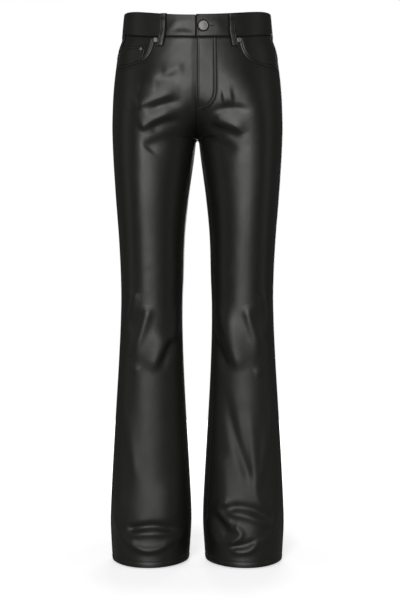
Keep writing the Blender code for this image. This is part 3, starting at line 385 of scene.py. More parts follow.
def softNoise(shape, cell, seed):
    rng = np.random.default_rng(seed)
    coarse = rng.normal(size=(shape[0] // cell + 4, shape[1] // cell + 4))
    rows = np.arange(shape[0]) / cell
    columns = np.arange(shape[1]) / cell
    row, column = rows.astype(int), columns.astype(int)
    down = ease(rows - row)[:, None]
    right = ease(columns - column)[None, :]
    top = coarse[row][:, column] * (1 - right) + coarse[row][:, column + 1] * right
    low = coarse[row + 1][:, column] * (1 - right) + coarse[row + 1][:, column + 1] * right
    return top * (1 - down) + low * down


def unevenness(seed):
    shape = (reliefMap["high"], reliefMap["wide"])
    (coarse, coarseCell), (fine, fineCell) = reliefMap["uneven"]
    return coarse * softNoise(shape, coarseCell, seed) + fine * softNoise(shape, fineCell, seed + 1)


def softened(field, reach):
    steps = np.arange(-3 * reach, 3 * reach + 1)
    weights = np.exp(-0.5 * (steps / reach) ** 2)
    weights /= weights.sum()
    for axis in (0, 1):
        field = np.apply_along_axis(np.convolve, axis, field, weights, "same")
    return field


def reliefOf(stamp, rows, seed):
    field = np.zeros((reliefMap["high"], reliefMap["wide"]))
    for row in rows:
        stamp(field, *row)
    if stamp is stampCrease:
        field = softened(field, reliefMap["rounding"])
    return field + unevenness(seed)


frontRelief = reliefOf(stampCrease, frontCreases, 3)
backRelief = reliefOf(stampCrease, backCreases, 8)
bandFront = reliefOf(stampFold, bandFrontFolds, 5)
bandBack = reliefOf(stampFold, bandBackFolds, 6)
print("relief made")


def readRelief(field, across, drop):
    right = np.clip(across - reliefMap["left"], 0, reliefMap["wide"] - 1.001)
    down = np.clip(drop - reliefMap["top"], 0, reliefMap["high"] - 1.001)
    column, row = right.astype(int), down.astype(int)
    right = right - column
    down = down - row
    return ((field[row, column] * (1 - right) + field[row, column + 1] * right) * (1 - down)
            + (field[row + 1, column] * (1 - right) + field[row + 1, column + 1] * right) * down)


# The left front's edge lies raised on the fly's layers
def flyLift(side, across, drop):
    if side < 0:
        return 0.0
    level = ease((drop - 50) / 20) * ease((garment["flyEnd"] - drop) / 22)
    return garment["flyRaise"] * np.exp(-(across / garment["flySpread"]) ** 2) * level


# The folds fade towards the outline, where the cloth turns to the side
def drapedPoint(side, turn, drop):
    turn, drop = np.broadcast_arrays(np.asarray(turn, float), np.asarray(drop, float))
    point = barePoint(side, turn, drop)
    section = sectionAt(drop)
    sine = np.sin(turn)
    height = np.where(sine > 0, readRelief(frontRelief, point[..., 0], drop),
                      readRelief(backRelief, point[..., 0], drop))
    joined = np.where(np.cos(turn) > 0, np.clip(section["span"], 0, 1), 0)
    facing = ease(np.abs(sine) / 0.8)
    height = height * (facing + (1 - facing) * joined) * ease((drop - 50) / 40)
    bandHeight = np.where(sine > 0, readRelief(bandFront, point[..., 0], drop),
                          readRelief(bandBack, point[..., 0], drop))
    height = height + bandHeight * facing * ease((100 - drop) / 40)
    height = height + flyLift(side, point[..., 0], drop) * (np.sin(turn) > 0)
    return point + normalOf(barePoint, side, turn, drop) * height[..., None]


def cloth(side, part, drop):
    turn = turnAt(side, part, drop)
    return drapedPoint(side, turn, drop), normalOf(drapedPoint, side, turn, drop)


# Edges of the pieces
def depthShare(part):
    part = np.asarray(part, float)
    level = np.full(part.shape, 20.0)
    forward = ring(sectionAt(level), turnAt(1, part, level))[1]
    section = sectionAt(level)
    share = np.where(forward < 0, -forward / section["front"], forward / section["back"])
    return np.clip(share, 0, 1), forward < 0


def bandEdge(part, drops, frontPower):
    share, inFront = depthShare(part)
    side, front, back = drops
    return np.where(inFront, side + (front - side) * share ** frontPower,
                    side + (back - side) * share ** 1.6)


def bandTop(side, part):
    lift = garment["bandLift"] * (1 - ease(part)) if side > 0 else 0.0
    return bandEdge(part, garment["bandTop"], 2.8) - lift


def bandSeam(part):
    return bandEdge(part, garment["bandSeam"], 1.2)


def yokeSeam(part):
    share = np.asarray(part, float) - 1
    fall = garment["yokeBack"] - garment["yokeSide"]
    return garment["yokeSide"] + fall * share + 3 * np.sin(math.pi * share)


def mouthPoint(share):
    angle = share * math.pi / 2
    start = garment["pocketPart"]
    power = garment["mouthRoundness"]
    part = start + (1 - start) * (1 - np.cos(angle) ** power)
    top = bandSeam(np.array([start]))[0]
    return part, top + garment["pocketDepth"] * np.sin(angle) ** power - 4 * share ** 6


def finishMesh(name, points, faces):
    mesh = bpy.data.meshes.new(name)
    mesh.from_pydata((points.reshape(-1, 3) * mm).tolist(), [], faces)
    mesh.shade_smooth()
    piece = bpy.data.objects.new(name, mesh)
    bpy.context.scene.collection.objects.link(piece)
    return piece


def quads(index, flip):
    corners = [index[:-1, :-1], index[:-1, 1:], index[1:, 1:], index[1:, :-1]]
    return np.stack(corners[::-1] if flip else corners, -1)


def inEditMode(piece, *steps):
    bpy.context.view_layer.objects.active = piece
    bpy.ops.object.mode_set(mode="EDIT")
    bpy.ops.mesh.select_all(action="SELECT")
    for operator, settings in steps:
        operator(**settings)
    bpy.ops.object.mode_set(mode="OBJECT")


def gridPiece(name, points, side, thickness, keep=None):
    rows, columns = points.shape[:2]
    faces = quads(np.arange(rows * columns).reshape(rows, columns), side > 0)
    faces = faces.reshape(-1, 4) if keep is None else faces[keep]
    piece = finishMesh(name, points, faces.tolist())
    if keep is not None:
        inEditMode(piece, (bpy.ops.mesh.delete_loose, {}))
    wall = piece.modifiers.new("leather", "SOLIDIFY")
    wall.thickness = thickness * mm
    wall.offset = -1
    wall.material_offset = 1
    wall.material_offset_rim = 0
    applyModifiers(piece)
    return piece


def applyModifiers(piece):
    bpy.ops.object.select_all(action="DESELECT")
    bpy.context.view_layer.objects.active = piece
    piece.select_set(True)
    for modifier in list(piece.modifiers):
        bpy.ops.object.modifier_apply(modifier=modifier.name)
    piece.select_set(False)


def lengthAlong(points):
    return np.concatenate(([0], np.cumsum(np.linalg.norm(np.diff(points, axis=0), axis=-1))))


def distances(points):
    stepAcross = np.linalg.norm(np.diff(points, axis=1), axis=-1)
    stepDown = np.linalg.norm(np.diff(points, axis=0), axis=-1)
    zeros = np.zeros((points.shape[0], 1))
    first = np.concatenate((zeros, np.cumsum(stepAcross, 1)), 1)
    zeros = np.zeros((1, points.shape[1]))
    top = np.concatenate((zeros, np.cumsum(stepDown, 0)), 0)
    return {"first": first, "last": first[:, -1:] - first, "top": top, "bottom": top[-1:] - top}


# The cloth turns down into a seam, with a faint swelling beside it
def seamDip(distance, depth=1.5, reach=1.6, swell=0.25):
    return -depth * np.exp(-(distance / reach) ** 2) + swell * np.exp(-((distance - 5) / 3) ** 2)


# A piece's grid is fine beside its edges: millimetres from the edge
edgeSteps = np.array((0.0, 0.7, 1.5, 2.6, 4.2))
underBand = (0.8, 2.0)      # depth and reach of the dip along the waistband's seam


def fineShares(count, length):
    edge = edgeSteps / length
    middle = np.linspace(edge[-1], 1 - edge[-1], count)
    return np.concatenate((edge[:-1], middle, 1 - edge[:-1][::-1]))


panel = {"columns": 92, "backColumns": 70, "rowStep": 2.5, "crotchRows": 30, "crotchReach": 58.0,
         "legSteps": ((316.5, 560, 3.1), (560, 960, 2.8), (960, 1074, 1.8)),
         "hemSteps": (13.0, 11.6, 10.5, 9.6, 9.0, 8.4, 7.5, 6.3, 5.0, 3.4, 2.2, 1.3)}
hemLine = {"above": 9.0, "depth": 0.45, "reach": 0.9, "swell": 0.45, "swellAt": 4.5,
           "turn": 2.7}


def hemDip(distance):
    return (-hemLine["depth"] * np.exp(-((distance - hemLine["above"]) / hemLine["reach"]) ** 2)
            + hemLine["swell"] * np.exp(-((distance - hemLine["swellAt"]) / 2.6) ** 2))


def panelDrops(parts, top, topReach):
    hip = garment["hipDrop"]
    count = int(topReach / panel["rowStep"])
    upperShares = np.concatenate((edgeSteps / topReach, np.linspace(6.5 / topReach, 1, count)))
    upper = top + (hip - top) * upperShares[:, None]
    fromMiddle = np.where(parts <= 1, parts, 2 - parts)
    crotch, reach = garment["crotchDrop"], panel["crotchReach"]
    rows = [np.full(parts.shape, drop)
            for drop in np.arange(hip + panel["rowStep"], crotch - reach, panel["rowStep"])]
    spread = ease(fromMiddle / 0.55)
    for step in np.arange(-panel["crotchRows"], panel["crotchRows"] + 1) / panel["crotchRows"]:
        close = crotch + reach * np.sign(step) * step * step
        rows.append(close + (crotch + reach * step - close) * spread)
    hem = garment["hemDrop"]
    below = [np.arange(*steps) for steps in panel["legSteps"]]
    below = np.concatenate(below + [hem - np.array(panel["hemSteps"])])
    rows += [np.full(parts.shape, drop) for drop in below]
    rows = np.stack(rows)
    fullness = np.sin(math.pi * fromMiddle) ** 2
    rows = rows + garment["hemDip"] * fullness * ease((rows - hem + 60) / 60)
    return np.concatenate((upper, rows))


# The cloth turns under at the hem and runs up inside
def hemRows(points, normals):
    turn = hemLine["turn"]
    down = points[-1] - points[-2]
    down /= np.linalg.norm(down, axis=-1, keepdims=True)
    rows = []
    for angle in np.radians((30, 60, 90, 120, 150, 180)):
        rows.append(points[-1] + down * math.sin(angle) * turn / 2
                    - normals[-1] * (1 - math.cos(angle)) * turn / 2)
    count = int((points[:, 0, 2] < garment["hemTurn"] - garment["hemDrop"]).sum())
    for row in range(2, count):
        rows.append(points[-row] - normals[-row] * turn)
    return np.stack(rows)


# No point passes the middle seam, which at the fly is the lap's edge, and its own points lie on it
def keepToSide(points, side, front, middle):
    edge = flyEdge(side, -points[..., 2]) if front else np.zeros(points.shape[:-1])
    least = edge + 0.04
    points[..., 0] = side * np.maximum(side * points[..., 0], least)
    above = -points[:, middle, 2] < garment["crotchDrop"] - 0.3
    points[above, middle, 0] = side * least[above, middle]


def clothGrid(side, parts, drops):
    points, normals = cloth(side, np.broadcast_to(parts, drops.shape), drops)
    return points, normals, distances(points)


front = {"width": 245.0, "topReach": 72.0, "mouthInset": 2.4}


def makeFront(sideName, side):
    parts = fineShares(panel["columns"], front["width"])
    drops = panelDrops(parts, bandSeam(parts), front["topReach"])
    points, normals, away = clothGrid(side, parts, drops)
    flyShare = ease((garment["flyEnd"] - drops) / 22)
    if side > 0:
        middleEdge = -1.9 * np.exp(-(away["first"] / 0.9) ** 2)
    else:
        middleEdge = -0.9 * np.exp(-(away["first"] / 6) ** 2)
    offset = (flyShare * middleEdge + (1 - flyShare) * seamDip(away["first"])
              + seamDip(away["last"]) + seamDip(away["top"], *underBand) + hemDip(away["bottom"]))
    points = points + normals * offset[..., None]
    keepToSide(points, side, True, 0)
    points = np.concatenate((points, hemRows(points, normals)))
    mouthPart, mouthDrop = mouthPoint(np.linspace(0, 1, 200))
    keep = np.ones((points.shape[0] - 1, points.shape[1] - 1), bool)
    rows = drops.shape[0] - 1
    cellPart = (parts[:-1] + parts[1:]) / 2
    cellDrop = (drops[:-1, :-1] + drops[1:, 1:]) / 2
    edgeDrop = np.interp(cellPart, mouthPart, mouthDrop + front["mouthInset"])
    inset = garment["pocketPart"] - front["mouthInset"] / front["width"]
    keep[:rows] = (cellDrop > edgeDrop) | (cellPart < inset)
    return gridPiece("frontPanel_" + sideName, points, side, garment["leather"], keep)


back = {"width": 230.0, "topReach": 40.0}


def makeBack(sideName, side):
    parts = 1 + fineShares(panel["backColumns"], back["width"])
    drops = panelDrops(parts, yokeSeam(parts), back["topReach"])
    points, normals, away = clothGrid(side, parts, drops)
    offset = (seamDip(away["first"]) + seamDip(away["last"]) + seamDip(away["top"])
              + hemDip(away["bottom"]))
    points = points + normals * offset[..., None]
    keepToSide(points, side, False, -1)
    points = np.concatenate((points, hemRows(points, normals)))
    return gridPiece("backPanel_" + sideName, points, side, garment["leather"])


yoke = {"width": 170.0, "columns": 58, "length": 60.0, "rows": 18}


def makeYoke(sideName, side):
    parts = 1 + fineShares(yoke["columns"], yoke["width"])
    top = bandSeam(parts)
    shares = fineShares(yoke["rows"], yoke["length"])[:, None]
    drops = top + (yokeSeam(parts) - top) * shares
    points, normals, away = clothGrid(side, parts, drops)
    offset = (seamDip(away["first"]) + seamDip(away["last"]) + seamDip(away["top"], *underBand)
              + seamDip(away["bottom"]))
    points = points + normals * offset[..., None]
    keepToSide(points, side, False, -1)
    return gridPiece("yokePanel_" + sideName, points, side, garment["leather"])


pocket = {"depth": 1.9, "coinDepth": 1.5, "coinSide": -1, "wall": 1.0,
          "coinTop": (101, 81.5), "coinOuterDrop": 73.0, "coinFoot": (110, 126),
          "coinGrid": ((52, 55.0), (40, 40.0)),
          "coinRows": (("first", 3.6), ("first", 7.4), ("top", 5.6)),
          "bearerFoot": 118, "coinEnd": 122, "underSeam": 1.012, "sink": 3.0, "sinkReach": 3.0}


def partWhere(side, across, drop):
    parts = np.linspace(0, 1, 101)
    drops = np.full(parts.shape, float(drop))
    return float(np.interp(across, ring(sectionAt(drops), turnAt(side, parts, drops))[0], parts))


# The cloth sinks beside the mouth, under the opening's edge
def mouthSink(side, points):
    mouth = drapedPoint(side, *mouthLine(side, 60))
    away = np.linalg.norm(points[..., None, :] - mouth, axis=-1).min(-1)
    return pocket["sink"] * np.exp(-(away / pocket["sinkReach"]) ** 2)


def makeBearer(sideName, side):
    parts = np.linspace(garment["pocketPart"] - 0.06, pocket["underSeam"], 90)
    top = bandSeam(parts)
    drops = top + (pocket["bearerFoot"] - top) * np.linspace(0, 1, 50)[:, None]
    points, normals, _ = clothGrid(side, parts, drops)
    depth = pocket["depth"] + (pocket["coinDepth"] if side == pocket["coinSide"] else 0)
    points = points - normals * (depth + mouthSink(side, points))[..., None]
    return gridPiece("pocketBearer_" + sideName, points, side, pocket["wall"])


def makeCoinPocket():
    side = pocket["coinSide"]
    topPart, footPart = (partWhere(side, *pocket[spot]) for spot in ("coinTop", "coinFoot"))
    right, down = (fineShares(*steps) for steps in pocket["coinGrid"])
    down = down[:, None]
    topRow = topPart + (pocket["underSeam"] - topPart) * right
    lowRow = footPart + (pocket["underSeam"] - footPart) * right
    parts = topRow + (lowRow - topRow) * down
    innerDrop = pocket["coinTop"][1]
    tops = innerDrop + (pocket["coinOuterDrop"] - innerDrop) * right
    drops = tops + (pocket["coinEnd"] - tops) * down
    points, normals, away = clothGrid(side, parts, drops)
    fold = 0.0
    for name in ("top", "first"):
        fold = (fold - 1.7 * np.exp(-(away[name] / 0.9) ** 2)
                + 0.7 * np.exp(-((away[name] - 2.0) / 1.3) ** 2))
    for name, distance in pocket["coinRows"]:
        fold = fold - 0.9 * np.exp(-((away[name] - distance) / 0.8) ** 2)
    fold = fold + 0.25 - pocket["depth"] - mouthSink(side, points)
    points = points + normals * fold[..., None]
    return gridPiece("coinPocket", points, side, pocket["wall"])


backPocket = {"part": 1.47, "top": 121.0, "tilt": 0.10, "round": 212.0, "wall": 1.2,
              "width": 124.0, "columns": 34, "rows": 36,
              "outline": ((-64, 0), (64, 0), (60, 112), (0, 134), (-60, 112))}


def backPocketPoint(right, down):
    part = backPocket["part"] + right / backPocket["round"]
    return part, backPocket["top"] + down + backPocket["tilt"] * right


def makeBackPocket(sideName, side):
    across = fineShares(backPocket["columns"], backPocket["width"])
    down = fineShares(backPocket["rows"], backPocket["width"])[:, None]
    _, (topHalf, _), (lowHalf, corner), (_, tip), _ = backPocket["outline"]
    right = (2 * across - 1) * (topHalf + (lowHalf - topHalf) * down)
    depth = (corner + (tip - corner) * (1 - np.abs(2 * across - 1))) * down
    parts, drops = backPocketPoint(right, depth)
    points, normals, away = clothGrid(side, parts, drops)
    edge = np.minimum(np.minimum(away["first"], away["last"]),
                      np.minimum(away["top"], away["bottom"]))
    lift = 1.75 - 1.3 * np.exp(-(edge / 0.9) ** 2) + 0.35 * np.exp(-(edge / 7) ** 2)
    points = points + normals * lift[..., None]
    return gridPiece("backPocket_" + sideName, points, side, backPocket["wall"])


band = {"inside": -1.6, "outside": 1.3, "round": 1.45, "columns": 190, "faceRows": 14,
        "underlap": 32.0, "underlapRise": 1.5, "underlapColumns": 16, "ramp": 0.014, "dip": 3.1}


def makeBand(sideName, side):
    parts = np.linspace(0, 2, band["columns"])
    if side < 0:
        parts = np.insert(parts, 1, band["ramp"])
        parts.sort()
    top, low = bandTop(side, parts), bandSeam(parts)
    middleOut = (band["inside"] + band["outside"]) / 2
    arc = [(band["round"] * (1 - math.sin(angle)), middleOut + band["round"] * math.cos(angle))
           for angle in np.linspace(0, math.pi, 9)]
    face = np.linspace(0.04, 1, band["faceRows"])
    profile = []
    for share in face[::-1]:
        profile.append((share, 0.0, band["outside"], 1.0))
    profile += [(0.0, drop, out, 0.0) for drop, out in arc]
    for share in face:
        profile.append((share, 0.0, band["inside"], 0.0))
    rows = []
    for share, down, out, outer in profile:
        drops = top + down + (low - top) * share
        points, normals = cloth(side, parts, drops)
        if side < 0:
            lap = np.linspace(band["underlap"], 1.2, band["underlapColumns"])
            lapDrops = np.full(lap.shape, drops[0] - band["underlapRise"] * share)
            turns = turnWhere(sectionAt(lapDrops), lap, "ridge")
            points = np.concatenate((drapedPoint(1, turns, lapDrops), points))
            normals = np.concatenate((normalOf(drapedPoint, 1, turns, lapDrops), normals))
        dip = np.zeros(len(points))
        if side < 0:
            dip[:band["underlapColumns"] + 1] = band["dip"]
        length = lengthAlong(points)
        away = (low - top).mean() * (1 - share)
        out = out - outer * (0.8 * math.exp(-(away / 1.3) ** 2) + 0.4 * math.exp(-(away / 4) ** 2))
        ends = 0.0
        if side > 0:
            roll = 0.7 * np.exp(-((length - 2.4) / 1.5) ** 2) - 1.4 * np.exp(-(length / 0.8) ** 2)
            ends = roll * outer
        points = points + normals * (out - dip + ends)[:, None]
        if side > 0:
            points[:, 0] = np.maximum(points[:, 0], -garment["flyLap"])
        points[-1, 0] = 0.02 * side
        rows.append(points)
    grid = np.stack(rows)
    grid = np.concatenate((grid, grid[:1]))
    count, columns = grid.shape[0] - 1, grid.shape[1]
    index = np.arange(count * columns).reshape(count, columns)
    index = np.concatenate((index, index[:1]))
    faces = quads(index, side < 0).reshape(-1, 4).tolist()
    ends = [index[:-1, 0].tolist(), index[:-1, -1].tolist()]
    faces += [ends[0] if side > 0 else ends[0][::-1], ends[1][::-1] if side > 0 else ends[1]]
    return finishMesh("band_" + sideName, grid[:-1], faces)


# The outline's offsets run from the edge nearer the front's middle; heights are in walls. The faces
# of the first columns, at that edge, are black: painted shade for the gap under the loop's edge.
loop = {"wall": 1.7, "length": 64.0, "frontLine": ((65.5, 22.5), (72.5, 86.0)),
        "outline": ((-7.4, -0.6), (-7.3, -0.1), (-6.9, 0.15), (-6.0, 0.25), (-5.0, 0.3),
                    (-4.8, 0.72), (-4.3, 0.9), (-3.0, 1.06), (-1.2, 1.2), (0.8, 1.3),
                    (2.4, 1.34), (3.2, 1.3), (3.7, 0.98), (4.2, 1.22), (5.2, 1.2),
                    (6.1, 0.95), (6.5, 0.4), (6.5, -0.2), (0, -0.5), (-6.5, -0.9)),
        "painted": 5, "faceColumns": 15, "rows": 44, "tuck": 0.012,
        "sidePart": 1.12, "sideTurn": math.radians(13),
        "stand": ((0, 1.55), (0.1, 1.9), (0.2, 3.3), (0.34, 4.0), (0.52, 4.1), (0.68, 3.8),
                  (0.78, 2.7), (0.85, 1.5), (0.92, 0.7), (1, 0.5))}


def onCloth(side, turn, drop):
    point = drapedPoint(side, turn, drop)
    normal = normalOf(drapedPoint, side, turn, drop)
    around = np.cross(normal, (0.0, 0.0, 1.0))
    return point, normal, -around / np.linalg.norm(around, axis=-1, keepdims=True)


# A closed strip from rings of points, one ring to a row
def closedStrip(name, grid):
    count, columns = grid.shape[:2]
    index = np.arange(count * columns).reshape(count, columns)
    index = np.concatenate((index, index[:, :1]), 1)
    corners = [index[:-1, :-1], index[1:, :-1], index[1:, 1:], index[:-1, 1:]]
    faces = np.stack(corners, -1).reshape(-1, 4).tolist()
    faces += [index[0, :-1].tolist(), index[-1, :-1][::-1].tolist()]
    piece = finishMesh(name, grid, faces)
    inEditMode(piece, (bpy.ops.mesh.normals_make_consistent, {"inside": False}))
    return piece


def makeLoop(name, side, topTurn, lowTurn, topDrop, lowDrop):
    shares = np.linspace(-loop["tuck"], 1, loop["rows"])
    stand = smoothTable(*np.array(loop["stand"], float).T, shares)
    turns = topTurn + (lowTurn - topTurn) * shares
    points, normals, around = onCloth(side, turns, topDrop + (lowDrop - topDrop) * shares)
    wall = loop["wall"]
    endFall = np.exp(-((shares - 1) * (lowDrop - topDrop) / 0.9) ** 2)
    rows = []
    for offset, height in loop["outline"]:
        lift = stand + wall * height * (1 - 0.75 * endFall * (height > 0.3))
        rows.append(points + around * offset * side + normals * lift[:, None])
    grid = np.stack(rows, 1)
    return closedStrip(name, grid)


def spotTurn(across, drop):
    return turnWhere(sectionAt(np.array(float(drop))), np.array(float(across)), "ridge")


def loopPlaces():
    places = []
    for sideName, side in sides.items():
        (_, topDrop), (_, lowDrop) = loop["frontLine"]
        turns = [float(spotTurn(across, drop)) for across, drop in loop["frontLine"]]
        places.append(("Front_" + sideName, side, *turns, topDrop, lowDrop))
        topDrop = float(bandTop(side, np.array([loop["sidePart"]]))[0])
        turn = math.pi + loop["sideTurn"]
        places.append(("Side_" + sideName, side, turn, turn, topDrop, topDrop + loop["length"]))
    topDrop = float(bandTop(1, np.array([2.0]))[0])
    turn = 1.5 * math.pi
    places.append(("Back", 1, turn, turn, topDrop, topDrop + loop["length"]))
    return places


# Steps of turn and drop that go one millimetre across a line on the cloth, to the line's left
def besideLine(side, turns, drops):
    normal = normalOf(drapedPoint, side, turns, drops)
    around = drapedPoint(side, turns + 0.005, drops) - drapedPoint(side, turns - 0.005, drops)
    around = around / 0.01
    down = (drapedPoint(side, turns, drops + 0.8) - drapedPoint(side, turns, drops - 0.8)) / 1.6
    across = np.cross(normal, np.gradient(drapedPoint(side, turns, drops), axis=0))
    across /= np.linalg.norm(across, axis=-1, keepdims=True)
    aa, bb, ab = (around * around).sum(-1), (down * down).sum(-1), (around * down).sum(-1)
    onAround, onDown = (around * across).sum(-1), (down * across).sum(-1)
    area = aa * bb - ab * ab
    return (bb * onAround - ab * onDown) / area, (aa * onDown - ab * onAround) / area


def shifted(side, turns, drops, offset):
    turnStep, dropStep = besideLine(side, turns, drops)
    return turns + turnStep * offset, drops + dropStep * offset


# A strip on the cloth along a line; a profile's row is an offset to the line's left and a height
def makeStrip(name, side, line, profile, way=1, lift=0.0):
    turns, drops = line
    turnStep, dropStep = besideLine(side, turns, drops)
    length = lengthAlong(drapedPoint(side, turns, drops))
    ends = np.exp(-(length / 0.9) ** 2) + np.exp(-((length[-1] - length) / 0.9) ** 2)
    rows = []
    for offset, height in profile:
        turn, drop = turns + turnStep * offset * way, drops + dropStep * offset * way
        out = lift + height - 0.9 * ends * (height > 0)
        rows.append(drapedPoint(side, turn, drop)
                    + normalOf(drapedPoint, side, turn, drop) * out[:, None])
    return closedStrip(name, np.stack(rows, 1))


def lineOf(places):
    across, drops = smoothLine(places, 10).T
    return turnWhere(sectionAt(drops), across, "ridge"), drops


def mouthLine(side, count):
    parts, drops = mouthPoint(np.linspace(0.0, 1.0, count))
    return turnAt(side, parts, drops), drops


mouthRoll = ((-0.5, -2.6), (-1.0, -1.6), (-1.2, -0.3), (-0.9, 0.9), (-0.1, 1.8), (0.8, 2.1),
             (1.8, 1.85), (2.8, 1.4), (3.7, 0.8), (4.3, 0.1), (4.8, -0.4), (5.4, -0.15),
             (6.6, 0.06), (8.4, 0.0), (10, -0.4), (9, -0.8), (5, -0.9), (1, -1.2), (0.2, -2.2))
fly = {
    "rib": ((34.1, 67), (34.2, 120), (34.4, 165), (33.2, 180), (29, 191), (21, 199.5),
            (10.5, 204.5), (-1.5, 206)),
    "ribShape": ((-6.0, -0.35), (-5.0, 0.2), (-4.2, 0.45), (-3.6, 0.05), (-3.0, -0.1),
                 (-2.3, 0.5), (-1.1, 1.0), (0, 1.1), (1.1, 1.0), (2.3, 0.5), (3.0, -0.1),
                 (3.6, 0.05), (4.2, 0.45), (5.0, 0.2), (6.2, -0.35), (4, -0.7), (-4, -0.7)),
    "edge": ((-2.45, 67), (-2.45, 120), (-2.45, 180), (-2.2, 190), (-1.9, 200), (-1.6, 207)),
    "edgeShape": ((-0.3, -1.6), (-0.6, -0.6), (-0.5, 0.3), (0.2, 1.0), (1.2, 1.3),
                  (2.3, 1.05), (3.2, 0.3), (3.8, -0.1), (4.4, -0.05), (5.2, 0.3), (6.2, 0.2),
                  (7.5, -0.35), (5, -0.7), (1, -0.9)),
    "seam": ((-0.4, 205), (-0.2, 225), (0.0, 243), (0.0, 254)),
    "seamShape": ((-2.7, -1.3), (-2.3, -0.1), (-1.5, 0.75), (-0.4, 1.15), (1.4, 1.2),
                  (3.0, 0.95), (3.9, 0.1), (4.5, -0.1), (5.2, 0.1), (6.6, 0.12), (8, -0.35),
                  (5, -0.6), (1, -1.0), (-1.5, -1.4)),
}


def frontTrims(sideName, side):
    trims = [makeStrip("mouthRoll_" + sideName, side, mouthLine(side, 90), mouthRoll, -side)]
    if side > 0:
        for part in ("rib", "edge", "seam"):
            line = lineOf(fly[part])
            trims.append(makeStrip("fly_" + part, side, line, fly[part + "Shape"]))
    return trims


# The points and faces of a small mesh, which is then copied many times
def seedFrom(piece):
    points = np.array([vertex.co[:] for vertex in piece.data.vertices])
    faces = [list(face.vertices) for face in piece.data.polygons]
    bpy.data.objects.remove(piece)
    return points, faces


def addCopies(made, seed, size, centres, axes):
    (points, faces), (seedPoints, seedFaces) = made, seed
    for centre, turned in zip(centres, np.stack(axes, 1)):
        start = len(points) * len(seedPoints)
        points.append(centre + seedPoints * size @ turned)
        faces += [[start + corner for corner in face] for face in seedFaces]


# One stitch, and the places of the stitch rows beside their seams, in millimetres
stitch = {"length": 2.7, "wide": 0.8, "high": 0.5, "pitch": 3.3, "lift": 0.1,
          "mouth": (4.8, 9.4), "inseam": 2.4, "rib": 3.1, "edge": 4.1, "seam": 4.4,
          "yoke": (2.6, 8.6), "backPocket": (2.4, 8.4), "seat": 5.0, "hemLift": -0.55}
bpy.ops.mesh.primitive_uv_sphere_add(segments=6, ring_count=4, radius=0.5)
stitchPoints, stitchFaces = seedFrom(bpy.context.object)
stitchPoints *= (stitch["wide"], stitch["high"], stitch["length"])
stitchSeed = (stitchPoints, stitchFaces)


# Each row is a side, turns, drops and a height over the cloth
def makeStitches(name, rows):
    made = points, faces = [], []
    for side, turns, drops, lift in rows:
        length = lengthAlong(drapedPoint(side, turns, drops))
        places = np.arange(stitch["pitch"] / 2, length[-1], stitch["pitch"])
        turns, drops = np.interp(places, length, turns), np.interp(places, length, drops)
        centres = drapedPoint(side, turns, drops)
        normals = normalOf(drapedPoint, side, turns, drops)
        centres = centres + normals * (stitch["lift"] + lift)
        along = np.gradient(centres, axis=0)
        along -= normals * (along * normals).sum(-1, keepdims=True)
        along /= np.linalg.norm(along, axis=-1, keepdims=True)
        across = np.cross(normals, along)
        addCopies(made, stitchSeed, 1.0, centres, (across, normals, along))
    return finishMesh(name, np.concatenate(points), faces)


def rowBeside(side, line, offset, lift=0.0):
    return (side, *shifted(side, *line, offset), lift)


def seamLine(side, part, top, bottom, count):
    drops = np.linspace(top, bottom, count)
    return turnAt(side, np.full(count, float(part)), drops), drops


def hemStitchRow(side, first, last):
    parts = np.linspace(first, last, 120)
    drops = np.full(parts.shape, garment["hemDrop"] - hemLine["above"])
    drops = drops + garment["hemDip"] * np.sin(math.pi * parts) ** 2
    return side, turnAt(side, parts, drops), drops, stitch["hemLift"]


def frontStitchRows(side):
    mouth = mouthLine(side, 90)
    rows = [rowBeside(side, mouth, -side * offset) for offset in stitch["mouth"]]
    inseam = seamLine(side, 0.0, garment["crotchDrop"] + 8, garment["hemDrop"] - 12, 400)
    rows.append(rowBeside(side, inseam, side * stitch["inseam"], 0.25))
    rows.append(hemStitchRow(side, 0.01, 0.99))
    if side > 0:
        lines = {part: lineOf(fly[part]) for part in ("rib", "edge", "seam")}
        for part, offset in (("rib", -stitch["rib"]), ("rib", stitch["rib"]),
                             ("edge", stitch["edge"]), ("seam", stitch["seam"])):
            rows.append(rowBeside(side, lines[part], offset, 0.08))
    return rows


def backStitchRows(side):
    rows = []
    parts = np.linspace(1.01, 1.985, 90)
    for below in stitch["yoke"]:
        drops = yokeSeam(parts) + below
        rows.append((side, turnAt(side, parts, drops), drops, 0.2))
    rows.append(hemStitchRow(side, 1.01, 1.99))
    outline = np.array(backPocket["outline"] + backPocket["outline"][:1], float)
    middle = outline[:-1].mean(0)
    outerRow, innerRow = stitch["backPocket"]
    for inset in (outerRow, innerRow):
        for start, end in zip(outline[:-1], outline[1:]):
            alongTop = start[1] == 0 and end[1] == 0
            if alongTop and inset == innerRow:
                continue
            spots = [corner + (middle - corner) * inset * 1.5 / np.linalg.norm(middle - corner)
                     for corner in (start, end)]
            right, down = np.linspace(*spots, 30).T
            parts, drops = backPocketPoint(right, down)
            rows.append((side, turnAt(side, parts, drops), drops, 1.9))
    if side > 0:
        drops = np.linspace(garment["yokeBack"] + 6, garment["crotchDrop"] - 6, 90)
        for across in (-stitch["seat"], stitch["seat"]):
            turns = turnWhere(sectionAt(drops), np.full(drops.shape, across), "seat")
            rows.append((side, turns, drops, 0.15))
    return rows


